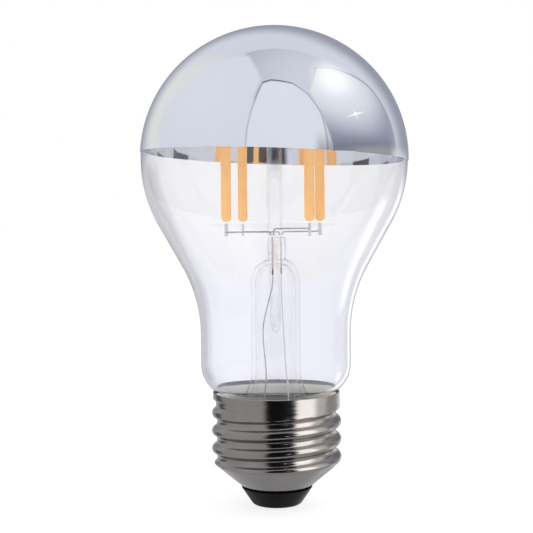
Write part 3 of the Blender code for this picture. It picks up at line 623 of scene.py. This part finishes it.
def domeHeights(radius, thick, rise, steps):
    # heights of the squeezed part's rings, evenly spaced round its curve
    last = acos(thick / radius)
    return [tubeTopZ + rise * sin(last * step / steps) / sin(last) for step in range(steps + 1)]


def cutHole(piece, radius, low, high):
    clearSelection()
    low, high = Vector(low), Vector(high)
    middle, length = (low + high) / 2, (high - low).length
    sizes = {"radius": radius * mm, "depth": length * mm, "location": middle * mm}
    bpy.ops.mesh.primitive_cylinder_add(vertices=24, **sizes)
    drill = bpy.context.active_object
    drill.rotation_euler = (high - low).to_track_quat("Z", "Y").to_euler()
    applyModifier(piece, "BOOLEAN", operation="DIFFERENCE", solver="EXACT", object=drill)
    bpy.data.objects.remove(drill)


def makeStem():
    radius, edge = stem["radius"], stem["edge"]
    flareTop = seatLow + stem["flareHeight"]
    outline = quarterCurve(stem["flare"], radius, seatLow + stem["wall"], flareTop, 16)
    outline += [(radius, z) for z in domeHeights(radius, stem["thick"], stem["shoulder"], 20)]
    outline += [(radius, pressZ + (pressTopZ - edge - pressZ) * step / 4) for step in range(1, 4)]
    outline += arcPoints((radius - edge, pressTopZ - edge), edge, 0, 90, 5)
    outline += [(radius * 0.45, pressTopZ), (0, pressTopZ)]  # one ring on the flat top keeps its faces even
    roof = [(stemBore, z) for z in domeHeights(stemBore, stem["roof"], stem["cavityRise"], 16)]
    roof = roof[:-1] + arcPoints((stemBore - edge, cavityTopZ - stem["roofDrop"]), edge, 0, 90, 5)
    inside = [(0, roof[-1][1]), (stemBore * 0.45, roof[-1][1])] + roof[::-1]
    inside += quarterCurve(stem["flare"], stemBore, seatLow, flareTop, 16)[::-1]
    outside = turnOutline("stemFlare", outline, stem["turns"], closed=False, smoothAngle=60)
    hollow = turnOutline("stemHollow", inside, stem["turns"], closed=False, smoothAngle=60)
    squeezeTube(outside, radius, stem["thick"], stem["wide"], stem["shoulder"], stem["shift"])
    squeezeTube(hollow, stemBore, stem["roof"], stem["roofWide"], stem["cavityRise"], 0.0)
    selectOnly(outside)
    hollow.select_set(True)
    bpy.ops.object.join()
    bpy.ops.object.mode_set(mode="EDIT")
    pickParts(outside, lambda edge: edge.is_boundary)
    bpy.ops.mesh.bridge_edge_loops()
    pickAll()
    bpy.ops.mesh.normals_make_consistent(inside=False)
    portZ = pressZ + stem["portR"]
    cutHole(outside, stem["portR"], (0, 0, cavityTopZ - gap), (0, 0, portZ))
    cutHole(outside, stem["portR"], (0.0, 0, portZ), (-stem["thick"] * 2, 0, portZ))
    placePiece(outside, pressTurn)
    smoothPiece(outside, 50)
    settlePiece(outside, "stemGlass", "stem_flare")


# Stub of the pumping tube under the press, drawn shut at its lower tip
exhaust = dict(radius=1.15, bore=0.6, length=13.7)


def makeExhaustTube():
    radius, bore = exhaust["radius"], exhaust["bore"]
    top = cavityTopZ - gap
    tip = top - exhaust["length"]
    outline = [(radius * 0.5 * r, tip + radius * 0.5 * (1 + z)) for r, z in arcPoints((0, 0), 1, -90, -20, 6)]
    outline[0] = (0, tip)
    outline += [(radius * 0.72, tip + radius * 0.95), (radius * 0.92, tip + radius * 1.5)]
    outline += [(radius, tip + radius * 2.1), (radius, top), (bore, top), (bore, tip + radius * 2.4)]
    outline += [(bore * 0.6, tip + radius * 1.5), (0, tip + radius)]
    piece = turnOutline("exhaustTube", outline, 48, smoothAngle=50)
    settlePiece(piece, "tubeGlass", "exhaust_tube")


# Filaments: a ring of coated sticks round a glass rod, with flat tabs at both ends
filament = dict(
    count=4, radius=0.82, length=30.0, ring=11.67, turn=35.0, drop=12.5, tabWidth=0.7,
    tabThick=0.25, tabLength=2.5, wire=0.15, armRise=1.1, branchRise=0.65, pastTab=0.6,
    armBend=0.8, spread=0.4, topSpacing=1.4, ends=0.656, lump=0.06, lumpWide=1.6, tabEdge=0.05,
)
filamentZ = ballZ - filament["drop"]
filamentTopZ = filamentZ + filament["length"]
rod = dict(radius=1.57, edge=0.3, bead=2.1, beadHeight=4.4)


def filamentAngle(index):
    return radians(filament["turn"]) + fullTurn * index / filament["count"]


def filamentFrame(index):
    # the directions outwards and sideways at a filament
    outward = Vector((cos(filamentAngle(index)), sin(filamentAngle(index)), 0))
    return outward, Vector((-outward.y, outward.x, 0))


def topWireHeight(index):
    return filamentTopZ + gap + filament["tabLength"] / 2 + (index - 0.5) * filament["topSpacing"]


def makeSupportRod():
    beadZ = topWireHeight(0.5)
    low = pressTopZ + gap
    edge = rod["edge"]
    outline = [(0, low)] + arcPoints((rod["radius"] - edge, low + edge), edge, -90, 0, 4)
    bead = arcPoints((0, 0), 1, -48, 90, 16)
    outline += [(rod["bead"] * r, beadZ + rod["beadHeight"] / 2 * z) for r, z in bead[:-1]]
    outline.append((0, beadZ + rod["beadHeight"] / 2))
    piece = turnOutline("supportRod", outline, 64, smoothAngle=60)
    settlePiece(piece, "rodGlass", "support_rod")


makeStem()
makeExhaustTube()
makeSupportRod()
print("stem, exhaust tube and rod made")


def placeRound(source, index, z, turns, label, nodeLabel, finish, slotName):
    # a copy in the ring, turned on itself by its angle in the ring times the given number
    place = filamentFrame(index)[0] * filament["ring"] + Vector((0, 0, z))
    piece = copyPiece(source, f"{label}{index + 1}")
    placePiece(piece, filamentAngle(index) * turns, place * mm)
    settlePiece(piece, finish, f"{nodeLabel}{index + 1}")


def makeFilaments():
    # one coated stick with round ends, a little uneven like a dipped coat, copied round the rod
    clearSelection()
    bpy.ops.mesh.primitive_cylinder_add(
        vertices=32, radius=filament["radius"] * mm, depth=filament["length"] * mm
    )
    first = bpy.context.active_object
    first.name = "filamentStick"
    bpy.ops.object.mode_set(mode="EDIT")
    bpy.ops.mesh.select_mode(type="EDGE")
    bpy.ops.mesh.select_all(action="DESELECT")
    half = filament["length"] * mm / 2
    pickParts(first, lambda edge: all(abs(abs(vert.co.z) - half) < 1e-6 for vert in edge.verts))
    bpy.ops.mesh.bevel(offset=filament["ends"] * mm, segments=8, profile=0.5)
    bpy.ops.mesh.select_all(action="DESELECT")
    pickParts(first, lambda edge: abs(edge.verts[0].co.z - edge.verts[1].co.z) > half)
    bpy.ops.mesh.subdivide(number_cuts=60)
    bpy.ops.object.mode_set(mode="OBJECT")
    clouds = bpy.data.textures.new("coatLumps", "CLOUDS")
    clouds.noise_scale = filament["lumpWide"] * mm
    applyModifier(first, "DISPLACE", texture=clouds, strength=filament["lump"] * mm, mid_level=0.5)
    smoothPiece(first, 60)
    look = ("filament", "filament_", "phosphorYellow", "phosphor_yellow")
    for index in range(filament["count"]):
        # each stick is turned differently, so that no two coats look alike
        placeRound(first, index, filamentZ + filament["length"] / 2, 3, *look)
    bpy.data.objects.remove(first)


def makeTabs():
    # flat metal ends: a strip with rounded edges
    clearSelection()
    bpy.ops.mesh.primitive_cube_add(size=1.0)
    first = bpy.context.active_object
    first.name = "tabStrip"
    first.scale = (filament["tabWidth"] * mm, filament["tabThick"] * mm, filament["tabLength"] * mm)
    bpy.ops.object.transform_apply(location=False, rotation=False, scale=True)
    applyModifier(first, "BEVEL", width=filament["tabEdge"] * mm, segments=3, limit_method="NONE")
    smoothPiece(first, 40)
    lowZ = filamentZ - gap - filament["tabLength"] / 2
    topZ = filamentTopZ + gap + filament["tabLength"] / 2
    for index in range(filament["count"]):
        for label, z in (("lower", lowZ), ("upper", topZ)):
            placeRound(first, index, z, 1, label + "Tab", label + "_tab_", "tabNickel", "nickel_wire")
    bpy.data.objects.remove(first)


makeFilaments()
makeTabs()
print("filaments and tabs made")


# Wires: the construction's routes, the outer wires' by angle round the stem and share of the height
lead = dict(
    spacing=5.2, belowCavity=2.0, sealRadius=0.15, outer=0.13, outerStraight=1.8, outerInset=1.2,
    padX=2.6, padDrop=1.1, padLead=1.5, padY=2.3,
)
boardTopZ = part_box("driver_board")[1].z / mm
nearRoute = [(-110, 0.92), (-151, 0.69), (-153, 0.53), (-130, 0.3), (-152, 0.0)]
farRoute = [(61, 0.8), (47, 0.35), (20, 0.0)]
lapOffset = filament["tabThick"] / 2 + gap + filament["wire"]


def makeTopWires():
    for index in range(2):
        outward, aside = filamentFrame(index)
        middle = aside * lapOffset + Vector((0, 0, topWireHeight(index)))
        reach = outward * (filament["ring"] + filament["pastTab"])
        piece = drawWire(f"topWire{index + 1}", [middle - reach, middle + reach], filament["wire"])
        settlePiece(piece, "nickelWire", f"top_wire_{index + 1}")


def makeLead(label, sign, filaments, branchRise, route, outerFinish):
    at = Matrix.Rotation(pressTurn, 3, "Z") @ Vector((stem["shift"], sign * lead["spacing"] / 2, 0))
    sealTop = pressTopZ + gap / 3
    sealLow = cavityTopZ - lead["belowCavity"]
    corners = [at + Vector((0, 0, sealLow)), at + Vector((0, 0, sealTop))]
    seal = drawWire(label + "SealWire", corners, lead["sealRadius"])
    settlePiece(seal, "sealWire", label + "_seal_wire")
    for name, index, rise in zip(("arm", "branch"), filaments, (0.0, branchRise)):
        outward, aside = filamentFrame(index)
        tab = outward * filament["ring"]
        lap = tab + aside * copysign(1, (at - tab).dot(aside)) * lapOffset
        root = at + (lap - at).normalized() * filament["spread"]
        runZ = Vector((0, 0, pressTopZ + filament["armRise"] + rise))
        corners = [
            root + Vector((0, 0, sealTop + gap)),
            root + runZ,
            lap + runZ,
            lap + outward * filament["pastTab"] + runZ,
        ]
        piece = drawWire(f"{label}{name.title()}Wire", corners, filament["wire"], filament["armBend"])
        settlePiece(piece, "nickelWire", f"{label}_{name}_wire")
    straightZ = sealLow - lead["outerStraight"]
    mouthZ = seatLow + gap
    padZ = boardTopZ - lead["padDrop"]
    ring = stemBore - lead["outerInset"]
    corners = [at + Vector((0, 0, sealLow - gap)), at + Vector((0, 0, straightZ))]
    for turn, height in route:
        angle = radians(turn)
        z = mouthZ + (straightZ - mouthZ) * height
        corners.append(Vector((ring * cos(angle), ring * sin(angle), z)))
    padX = copysign(lead["padX"], sign)
    corners.append(Vector((padX, lead["padY"] - lead["padLead"], padZ + gap)))
    corners.append(Vector((padX, lead["padY"], padZ)))
    outer = drawWire(label + "OuterWire", corners, lead["outer"], ring)
    settlePiece(outer, outerFinish, label + "_outer_wire")


makeTopWires()
makeLead("near", -1, (2, 3), filament["branchRise"], nearRoute, "tinnedCopper")
makeLead("far", 1, (0, 1), 0.0, farRoute, "tabNickel")
print("wires made")


# Screw cap: a rolled shell with a round thread that fades into the collar and is cut by the conical foot
cap = dict(
    wall=0.3, pitch=3.629, major=13.2, depth=1.07, crestDrop=6.0, runout=(0.68, 0.95),
    collarStep=0.3, foot=7.3, footZ=4.3, slope=1.18, blend=0.5, turns=160, rowsPerPitch=18,
    edge=0.08,
)
collarR = cap["major"] - cap["collarStep"]
minorR = cap["major"] - cap["depth"]
crestZ = rimZ - cap["crestDrop"]
threadArc = (cap["pitch"] ** 2 / 4 + cap["depth"] ** 2) / (4 * cap["depth"])


def footRadius(z):
    return cap["foot"] + (z - cap["footZ"]) * cap["slope"]


def threadRadius(z, grooveZ):
    # the thread below and above a groove, but the plain collar in place of the crest above it
    turns = (z - grooveZ) / cap["pitch"] - 0.5
    fromCrest = abs(turns - round(turns)) * cap["pitch"]
    if fromCrest <= cap["pitch"] / 4:
        thread = cap["major"] - threadArc + sqrt(threadArc ** 2 - fromCrest ** 2)
    else:
        fromRoot = cap["pitch"] / 2 - fromCrest
        thread = minorR + threadArc - sqrt(threadArc ** 2 - fromRoot ** 2)
    if z > grooveZ:
        thread = min(thread, collarR) if z < grooveZ + cap["pitch"] / 2 else collarR
    return thread


def shellRadius(angle, z):
    # the top groove climbs once round from the front and runs out before it is there again
    share = (angle / fullTurn + 0.25) % 1.0
    grooveZ = crestZ + cap["pitch"] * (share + 0.25)
    fade = smoothStep((share - cap["runout"][0]) / (cap["runout"][1] - cap["runout"][0]))
    lower = threadRadius(z, grooveZ - cap["pitch"])
    barrel = threadRadius(z, grooveZ) * (1 - fade) + lower * fade
    cone = footRadius(z)
    near = max(cap["blend"] - abs(barrel - cone), 0.0) / cap["blend"]
    return min(barrel, cone) - near * near * cap["blend"] / 4


def makeCapShell():
    rows = round((rimZ - cap["footZ"]) / cap["pitch"] * cap["rowsPerPitch"])
    outline = [(collarR, cap["footZ"] + (rimZ - cap["footZ"]) * row / rows) for row in range(rows + 1)]
    piece = turnOutline("capShell", outline, cap["turns"], closed=False, smoothAngle=60)
    for vert in piece.data.vertices:
        angle = atan2(vert.co.y, vert.co.x)
        radius = shellRadius(angle, vert.co.z / mm) * mm
        vert.co.x, vert.co.y = radius * cos(angle), radius * sin(angle)
    giveWall(piece, cap["wall"])
    sharp = radians(50)
    applyModifier(piece, "BEVEL", width=cap["edge"] * mm, segments=2, limit_method="ANGLE", angle_limit=sharp)
    smoothPiece(piece, 50)
    settlePiece(piece, "darkNickel", "cap_shell")


# Cement between glass and shell, wider above the thread, its top a little hollow
cement = dict(thickness=0.33, wideZ=1.1, slope=0.3, drop=0.6, hollow=0.25)


def makeCement():
    inner = bulb["seat"] + gap
    outer = inner + cement["thickness"]
    wide = collarR - cap["wall"] - gap
    topZ = rimZ - cement["drop"]
    outline = [(inner, seatLow), (outer, seatLow), (outer, rimZ - cement["wideZ"] - cement["slope"])]
    outline += [(wide, rimZ - cement["wideZ"]), (wide, topZ), ((wide + inner) / 2, topZ - cement["hollow"])]
    outline += [(inner + bulb["fillet"] / 2, topZ), (inner, topZ - bulb["fillet"])]
    piece = turnOutline("capCement", outline, 96, smoothAngle=35)
    settlePiece(piece, "capCement", "cap_cement")


# Insulator and centre contact: the cone's recess is taken from the contact's head
insulator = dict(top=6.7, bottom=0.3, bottomR=5.4, edge=1.1, bore=1.5, funnel=1.2, round=0.15)
contact = dict(head=0.7, radius=3.0, flat=2.1, dome=0.4, shank=1.2, shankTop=4.0, tip=0.4)


def makeInsulator():
    inset = (cap["wall"] + gap) * sqrt(1 + cap["slope"] ** 2)
    waistR = cap["foot"] - cap["wall"] - gap
    waistZ = cap["footZ"] + (waistR + inset - cap["foot"]) / cap["slope"]
    recessR, recessZ = contact["radius"] + gap, contact["head"] + gap
    coneZ = cap["footZ"] - gap
    edge, bevel = insulator["edge"], insulator["round"]
    outline = [(insulator["bore"], recessZ), (recessR, recessZ)]
    outline += arcPoints((recessR + bevel, insulator["bottom"] + bevel), bevel, 180, 270, 4)
    outline += arcPoints((insulator["bottomR"] - edge, insulator["bottom"] + edge), edge, -90, -32, 8)
    outline += arcPoints((cap["foot"] - bevel * 1.4, coneZ - bevel), bevel, -32, 90, 6)
    outline += [(waistR, coneZ), (waistR, waistZ), (footRadius(insulator["top"]) - inset, insulator["top"])]
    outline += [(insulator["bore"] + insulator["funnel"], insulator["top"])]
    outline += [(insulator["bore"], insulator["top"] - insulator["funnel"])]
    piece = turnOutline("insulatorCone", outline, 96, smoothAngle=35)
    settlePiece(piece, "blackInsulator", "insulator")


def makeCentreContact():
    outline = [(0, 0)] + quarterCurve(contact["flat"], contact["radius"], 0, contact["dome"], 8)
    outline += [(contact["radius"], contact["head"]), (contact["shank"], contact["head"])]
    outline += [(contact["shank"], contact["shankTop"] - contact["tip"])]
    outline += [(contact["shank"] - contact["tip"], contact["shankTop"]), (0, contact["shankTop"])]
    piece = turnOutline("centreContact", outline, 64, smoothAngle=35)
    settlePiece(piece, "tinnedContact", "centre_contact")


makeCapShell()
makeCement()
makeInsulator()
makeCentreContact()
print("cap, insulator and contact made")


# The construction's own nodes that stay: the driver, with its finishes
keptNodes = {
    "boardGreen": ["driver_board"],
    "chipBlack": ["bridge_rectifier", "driver_chip"],
    "chipCeramic": ["chip_resistor_1", "chip_resistor_2", "chip_capacitor"],
    "canAluminium": ["capacitor_can"],
    "resistorCoating": ["fuse_resistor"],
    "tinnedCopper": ["capacitor_lead_1", "capacitor_lead_2", "fuse_board_wire", "contact_wire", "side_wire"],
}
for finish, nodeNames in keptNodes.items():
    for nodeName in nodeNames:
        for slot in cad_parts[nodeName].material_slots:
            slot.material = finishes[finish]


# Studio: what the mirror and the metal reflect, by azimuth from the camera (right is plus) and height
def aim(azimuth, height):
    a, h = radians(azimuth), radians(height)
    return Vector((sin(a) * cos(h), -cos(a) * cos(h), sin(h)))


panels = dict(
    ceiling=dict(
        corners=[(-30, 45), (-133, 72), (160, 76), (120, 63.5), (60, 40)], soft=0.02,
        low=(0.44, 0.465, 0.55), high=(0.69, 0.705, 0.765), towards=(60, 50), range=(0.33, 1.05),
    ),
    leftWall=dict(
        corners=[
            (-16.5, 63), (-23.4, 21), (-24.2, -12), (-120, -12), (-120, 9), (-125, 23), (-136, 33),
            (-141.7, 45), (-133, 72),
        ],
        soft=0.03,
        low=(0.72, 0.735, 0.80), high=(0.755, 0.775, 0.835), towards=(-60, 60), range=(0.2, 1.0),
    ),
    rightFrame=dict(
        corners=[
            (40, 48), (46, 33), (46, -12), (133, -12), (133.5, 9), (128.5, 23), (123.5, 41.5), (121.5, 65.5),
        ],
        soft=0.012,
        colour=(0.40, 0.42, 0.49),
    ),
    rightWall=dict(
        corners=[(39, 49), (44, 33), (44, -12), (131, -12), (131, 9), (126, 23), (121, 41), (120, 63.5)],
        soft=0.012,
        low=(0.34, 0.365, 0.45), high=(0.83, 0.86, 0.89), towards=(85, 60), range=(0.62, 0.95),
    ),
    archLine=dict(
        corners=[
            (-24.6, -12), (-24.0, 21), (-17, 64), (-5, 66.8), (28, 62), (40.3, 49.5), (45, 33), (45, -12),
        ],
        soft=0.008,
        low=(0.44, 0.46, 0.53), high=(0.10, 0.11, 0.14), towards=(-13.8, 65), range=(0.9, 0.995),
    ),
    archWall=dict(
        corners=[
            (-23.8, -12), (-23, 21), (-16.2, 62.5), (-5, 65.4), (27, 60.8), (38.8, 48.8), (43.6, 33),
            (43.6, -12),
        ],
        soft=0.015,
        low=(0.74, 0.765, 0.84), high=(0.79, 0.81, 0.865), towards=(0, 50), range=(0.2, 1.0),
    ),
    lowLeft=dict(
        corners=[(-14, 6), (-112, 6), (-125, -40), (-100, -70), (0, -70), (-14, -40)], soft=0.05,
        low=(0.70, 0.70, 0.71), high=(0.75, 0.75, 0.76), towards=(-60, 0), range=(0.2, 1.0),
    ),
    lowRight=dict(
        corners=[(28, 3), (150, 3), (150, -45), (100, -70), (28, -45)], soft=0.05,
        colour=(0.72, 0.72, 0.73),
    ),
    rimStrip=dict(corners=[(145, -3), (157, -3), (157, -40), (145, -40)], soft=0.07, colour=(1.2, 1.2, 1.2)),
    rimShade=dict(
        corners=[(-117, 0), (-140, 0), (-140, -24), (-117, -24)], soft=0.06,
        colour=(0.2, 0.2, 0.21),
    ),
    insideDark=dict(
        corners=[(-12, 5), (27, 5), (27, -38), (-12, -38)], soft=0.05, inside=True,
        colour=(0.03, 0.03, 0.033),
    ),
    glassStrip=dict(
        corners=[(112, -16), (126, -16), (133, -30), (119, -30)], soft=0.05,
        colour=(1.7, 1.7, 1.72),
    ),
)
spots = dict(
    hotSpot=dict(at=(87, 53.5), across=0.43, up=0.31, colour=(1.15, 1.15, 1.15), hard=0.1),
    glint=dict(at=(80.4, 28.9), across=0.022, up=0.022, colour=(1.6, 1.6, 1.6), hard=0.2),
    glintLong=dict(at=(80.4, 28.3), across=0.25, up=0.014, colour=(1.25, 1.25, 1.25), hard=0.0),
    glintShort=dict(at=(80, 28), across=0.009, up=0.11, colour=(1.2, 1.2, 1.2), hard=0.0),
)


def readDot(tree, direction, axis):
    node = addNode(tree, "VectorMath", {0: direction, 1: axis}, operation="DOT_PRODUCT")
    return node.outputs["Value"]


def panelDepth(tree, direction, corners):
    # how far a direction lies inside a panel: the least of its distances to the panel's edges
    middle = sum((aim(*corner) for corner in corners), Vector()).normalized()
    depth = None
    for first, second in zip(corners, corners[1:] + corners[:1]):
        edge = aim(*first).cross(aim(*second)).normalized()
        if edge.dot(middle) < 0:
            edge.negate()
        distance = readDot(tree, direction, edge)
        depth = distance if depth is None else doMath(tree, "MINIMUM", depth, distance)
    return depth


def paintPanel(tree, direction, inside, below, panel):
    # a panel marked inside is only seen by rays that have passed through glass
    depth = panelDepth(tree, direction, panel["corners"])
    mask = easeValue(tree, depth, -panel["soft"], panel["soft"])
    if panel.get("inside"):
        mask = doMath(tree, "MULTIPLY", mask, inside)
    colour = panel.get("colour")
    if not colour:
        share = easeValue(tree, readDot(tree, direction, aim(*panel["towards"])), *panel["range"])
        colour = mixColours(tree, share, panel["low"], panel["high"])
    return mixColours(tree, mask, below, colour)


def paintSpot(tree, direction, below, spot):
    centre = aim(*spot["at"])
    side = Vector((0, 0, 1)).cross(centre).normalized()
    upright = centre.cross(side)
    across = doMath(tree, "DIVIDE", readDot(tree, direction, side), spot["across"])
    up = doMath(tree, "DIVIDE", readDot(tree, direction, upright), spot["up"])
    squares = [doMath(tree, "MULTIPLY", value, value) for value in (across, up)]
    square = doMath(tree, "ADD", *squares)
    mask = easeValue(tree, doMath(tree, "SQRT", square), 1.0, spot["hard"])
    front = doMath(tree, "GREATER_THAN", readDot(tree, direction, centre), 0.0)
    return mixColours(tree, doMath(tree, "MULTIPLY", mask, front), below, spot["colour"])


# Behind the lamp: light at the sides and overhead, a little creamy on the left, dark straight behind
backdrop = dict(
    sides=(0.70, 0.715, 0.775), cream=(0.79, 0.785, 0.775), back=(0.33, 0.345, 0.41), below=(0.6, 0.6, 0.63),
    fill=(0.97, 0.975, 1.0), seen=(1.0, 1.0, 1.0),
)


def buildStudio():
    world = bpy.data.worlds.new("studio")
    bpy.context.scene.world = world
    world.use_nodes = True
    world.cycles.sampling_method = "NONE"
    tree = world.node_tree
    direction = addNode(tree, "TexCoord").outputs["Generated"]
    split = splitPlace(tree, direction)
    leftShare = easeValue(tree, split[0], -0.3, -0.6)
    sides = mixColours(tree, leftShare, backdrop["sides"], backdrop["cream"])
    rightShare = mapValue(tree, split[0], -0.3, 0.3, -0.03, 0.15)
    backShare = easeValue(tree, doMath(tree, "ADD", split[1], rightShare), 0.6, 0.98)
    backTop = mixColours(tree, backShare, sides, backdrop["back"])
    below = easeValue(tree, split[2], 0.1, -0.05)
    colour = mixColours(tree, below, backTop, backdrop["below"])
    path = addNode(tree, "LightPath").outputs
    inside = doMath(tree, "GREATER_THAN", path["Transmission Depth"], 0.5)
    for panel in panels.values():
        colour = paintPanel(tree, direction, inside, colour, panel)
    for spot in spots.values():
        colour = paintSpot(tree, direction, colour, spot)
    unreflected = doMath(tree, "LESS_THAN", path["Glossy Depth"], 0.5)
    through = doMath(tree, "MULTIPLY", path["Is Transmission Ray"], unreflected)
    seen = doMath(tree, "MAXIMUM", path["Is Camera Ray"], through)
    lit = doMath(tree, "GREATER_THAN", path["Diffuse Depth"], 0.5)
    lit = doMath(tree, "MAXIMUM", lit, path["Is Diffuse Ray"])
    colour = mixColours(tree, lit, colour, backdrop["fill"])
    colour = mixColours(tree, seen, colour, backdrop["seen"])
    setInputs(tree.nodes["Background"], {"Color": colour})


def startStage(name):
    # a material for something that is only there for the picture
    material = bpy.data.materials.new(name)
    material.use_nodes = True
    tree = material.node_tree
    tree.nodes.remove(tree.nodes["Principled BSDF"])
    return material, tree


# Floor: white to the eye but for the lamp's shadow, and left out of what metal reflects
floorLook = dict(size=60.0, drop=0.05, glow=0.82, shade=0.25, plain=0.8)


def buildFloor():
    clearSelection()
    bpy.ops.mesh.primitive_plane_add(size=floorLook["size"], location=(0, 0, -floorLook["drop"] * mm))
    floor = bpy.context.active_object
    floor.name = "paleFloor"
    floor.visible_glossy = False
    material, tree = startStage("paleFloor")
    path = addNode(tree, "LightPath").outputs
    rays = ("Is Camera Ray", "Is Transmission Ray", "Is Glossy Ray")
    seen = doMath(tree, "MAXIMUM", *[path[ray] for ray in rays])
    glow = addGlow(tree, floorLook["glow"])
    greys = [(floorLook[key],) * 3 + (1,) for key in ("shade", "plain")]
    shade, plain = [addNode(tree, "BsdfDiffuse", {"Color": grey}) for grey in greys]
    both = addNode(tree, "AddShader", {0: glow.outputs[0], 1: shade.outputs[0]})
    reflected = doMath(tree, "GREATER_THAN", path["Glossy Depth"], 0.5)
    showMixed(tree, reflected, mixShaders(tree, seen, plain, both), addNode(tree, "BsdfTransparent"))
    floor.data.materials.append(material)


def setBoard(piece, material, tree, solid, shader):
    # a board shows where it is solid, and only to what shines
    showMixed(tree, solid, addNode(tree, "BsdfTransparent"), shader)
    piece.data.materials.append(material)
    piece.visible_camera = False
    piece.visible_diffuse = False
    piece.visible_transmission = False
    piece.visible_shadow = False


# Black board close in front of the cap: it draws the cap's dark stripe, and a small lamp on it the glints
blackBoard = dict(
    left=(-12.5, -6.8), right=(19.5, 14.6), y=-32.0, low=-10.0, top=46.0,
    lampAt=(8.1, 10.5), lampR=(1.2, 0.72), lampLight=6.0, colour=(0.012, 0.012, 0.014, 1),
)


def buildBlackBoard():
    left, right = blackBoard["left"][0], blackBoard["right"][0]
    places = [Vector((left, blackBoard["y"], z)) * mm for z in (blackBoard["low"], blackBoard["top"])]
    piece = drawSheet("blackBoard", places, ((right - left) * mm, 0, 0))
    material, tree = startStage("blackBoard")
    place = readPlace(tree)
    across = splitPlace(tree, place)[0]
    lampX, lampZ = blackBoard["lampAt"]
    inputs = {0: place, 1: (lampX * mm, blackBoard["y"] * mm, lampZ * mm)}
    toLamp = addNode(tree, "VectorMath", inputs, operation="DISTANCE").outputs["Value"]
    sides = (blackBoard["left"], blackBoard["right"])
    edges = [easeValue(tree, across, clearX * mm, solidX * mm) for clearX, solidX in sides]
    reach = [radius * mm for radius in blackBoard["lampR"]]
    glow = easeValue(tree, toLamp, *reach, 0.0, blackBoard["lampLight"])
    lamp = addGlow(tree, glow)
    black = addNode(tree, "BsdfDiffuse", {"Color": blackBoard["colour"]})
    shown = addNode(tree, "AddShader", {0: black.outputs[0], 1: lamp.outputs[0]})
    setBoard(piece, material, tree, doMath(tree, "MULTIPLY", *edges), shown)


# White board curved round the cap's right: it draws the cap's bright stripe, softer at its ends and its top
whiteBoard = dict(
    radius=50.0, rise=(22, 36), fall=(56, 73), fallTo=0.42, end=(95, 83), top=(85.0, 60.0),
    light=3.3, steps=16,
)


def buildWhiteBoard():
    first, last = whiteBoard["rise"][0], whiteBoard["end"][0]
    turns = [first + (last - first) * step / whiteBoard["steps"] for step in range(whiteBoard["steps"] + 1)]
    places = [aim(turn, 0) * whiteBoard["radius"] * mm for turn in turns]
    piece = drawSheet("whiteBoard", places, (0, 0, whiteBoard["top"][0] * mm))
    material, tree = startStage("whiteBoard")
    x, y, z = splitPlace(tree, readPlace(tree))
    angle = doMath(tree, "ARCTAN2", x, doMath(tree, "MULTIPLY", y, -1.0))
    rise, fall, end = [[radians(value) for value in whiteBoard[key]] for key in ("rise", "fall", "end")]
    level = easeValue(tree, angle, *rise, 0.0, whiteBoard["light"])
    fade = easeValue(tree, angle, *fall, 1.0, whiteBoard["fallTo"])
    lamp = addGlow(tree, doMath(tree, "MULTIPLY", level, fade))
    sides = [easeValue(tree, angle, *reach) for reach in ((rise[0], rise[0] + 0.1), end)]
    top = easeValue(tree, z, *[value * mm for value in whiteBoard["top"]])
    setBoard(piece, material, tree, doMath(tree, "MULTIPLY", *sides, top), lamp)
    # its light falls on the cap alone, and the glass above stays clear of it
    litPieces = bpy.data.collections.new("litByWhiteBoard")
    litPieces.objects.link(bpy.data.objects["capShell"])
    piece.light_linking.receiver_collection = litPieces


# Key light: a soft lamp from the upper right that isn't seen in glass or metal
keyLight = dict(energy=1.2, size=0.35, towards=(70, 50), distance=0.9, aimAt=(0, 0, 0.06))


def buildKeyLight():
    lampData = bpy.data.lights.new("softKey", "AREA")
    lampData.energy = keyLight["energy"]
    lampData.size = keyLight["size"]
    lamp = bpy.data.objects.new("softKey", lampData)
    bpy.context.scene.collection.objects.link(lamp)
    towards = aim(*keyLight["towards"])
    lamp.location = Vector(keyLight["aimAt"]) + towards * keyLight["distance"]
    lamp.rotation_euler = towards.to_track_quat("Z", "Y").to_euler()
    lamp.visible_glossy = False
    lamp.visible_transmission = False
    lamp.visible_camera = False


buildStudio()
buildFloor()
buildBlackBoard()
buildWhiteBoard()
buildKeyLight()

scene = bpy.context.scene
scene.view_settings.view_transform = "Standard"
scene.cycles.max_bounces = 24
scene.cycles.transmission_bounces = 24
scene.cycles.glossy_bounces = 12
scene.cycles.transparent_max_bounces = 32
print("studio built")
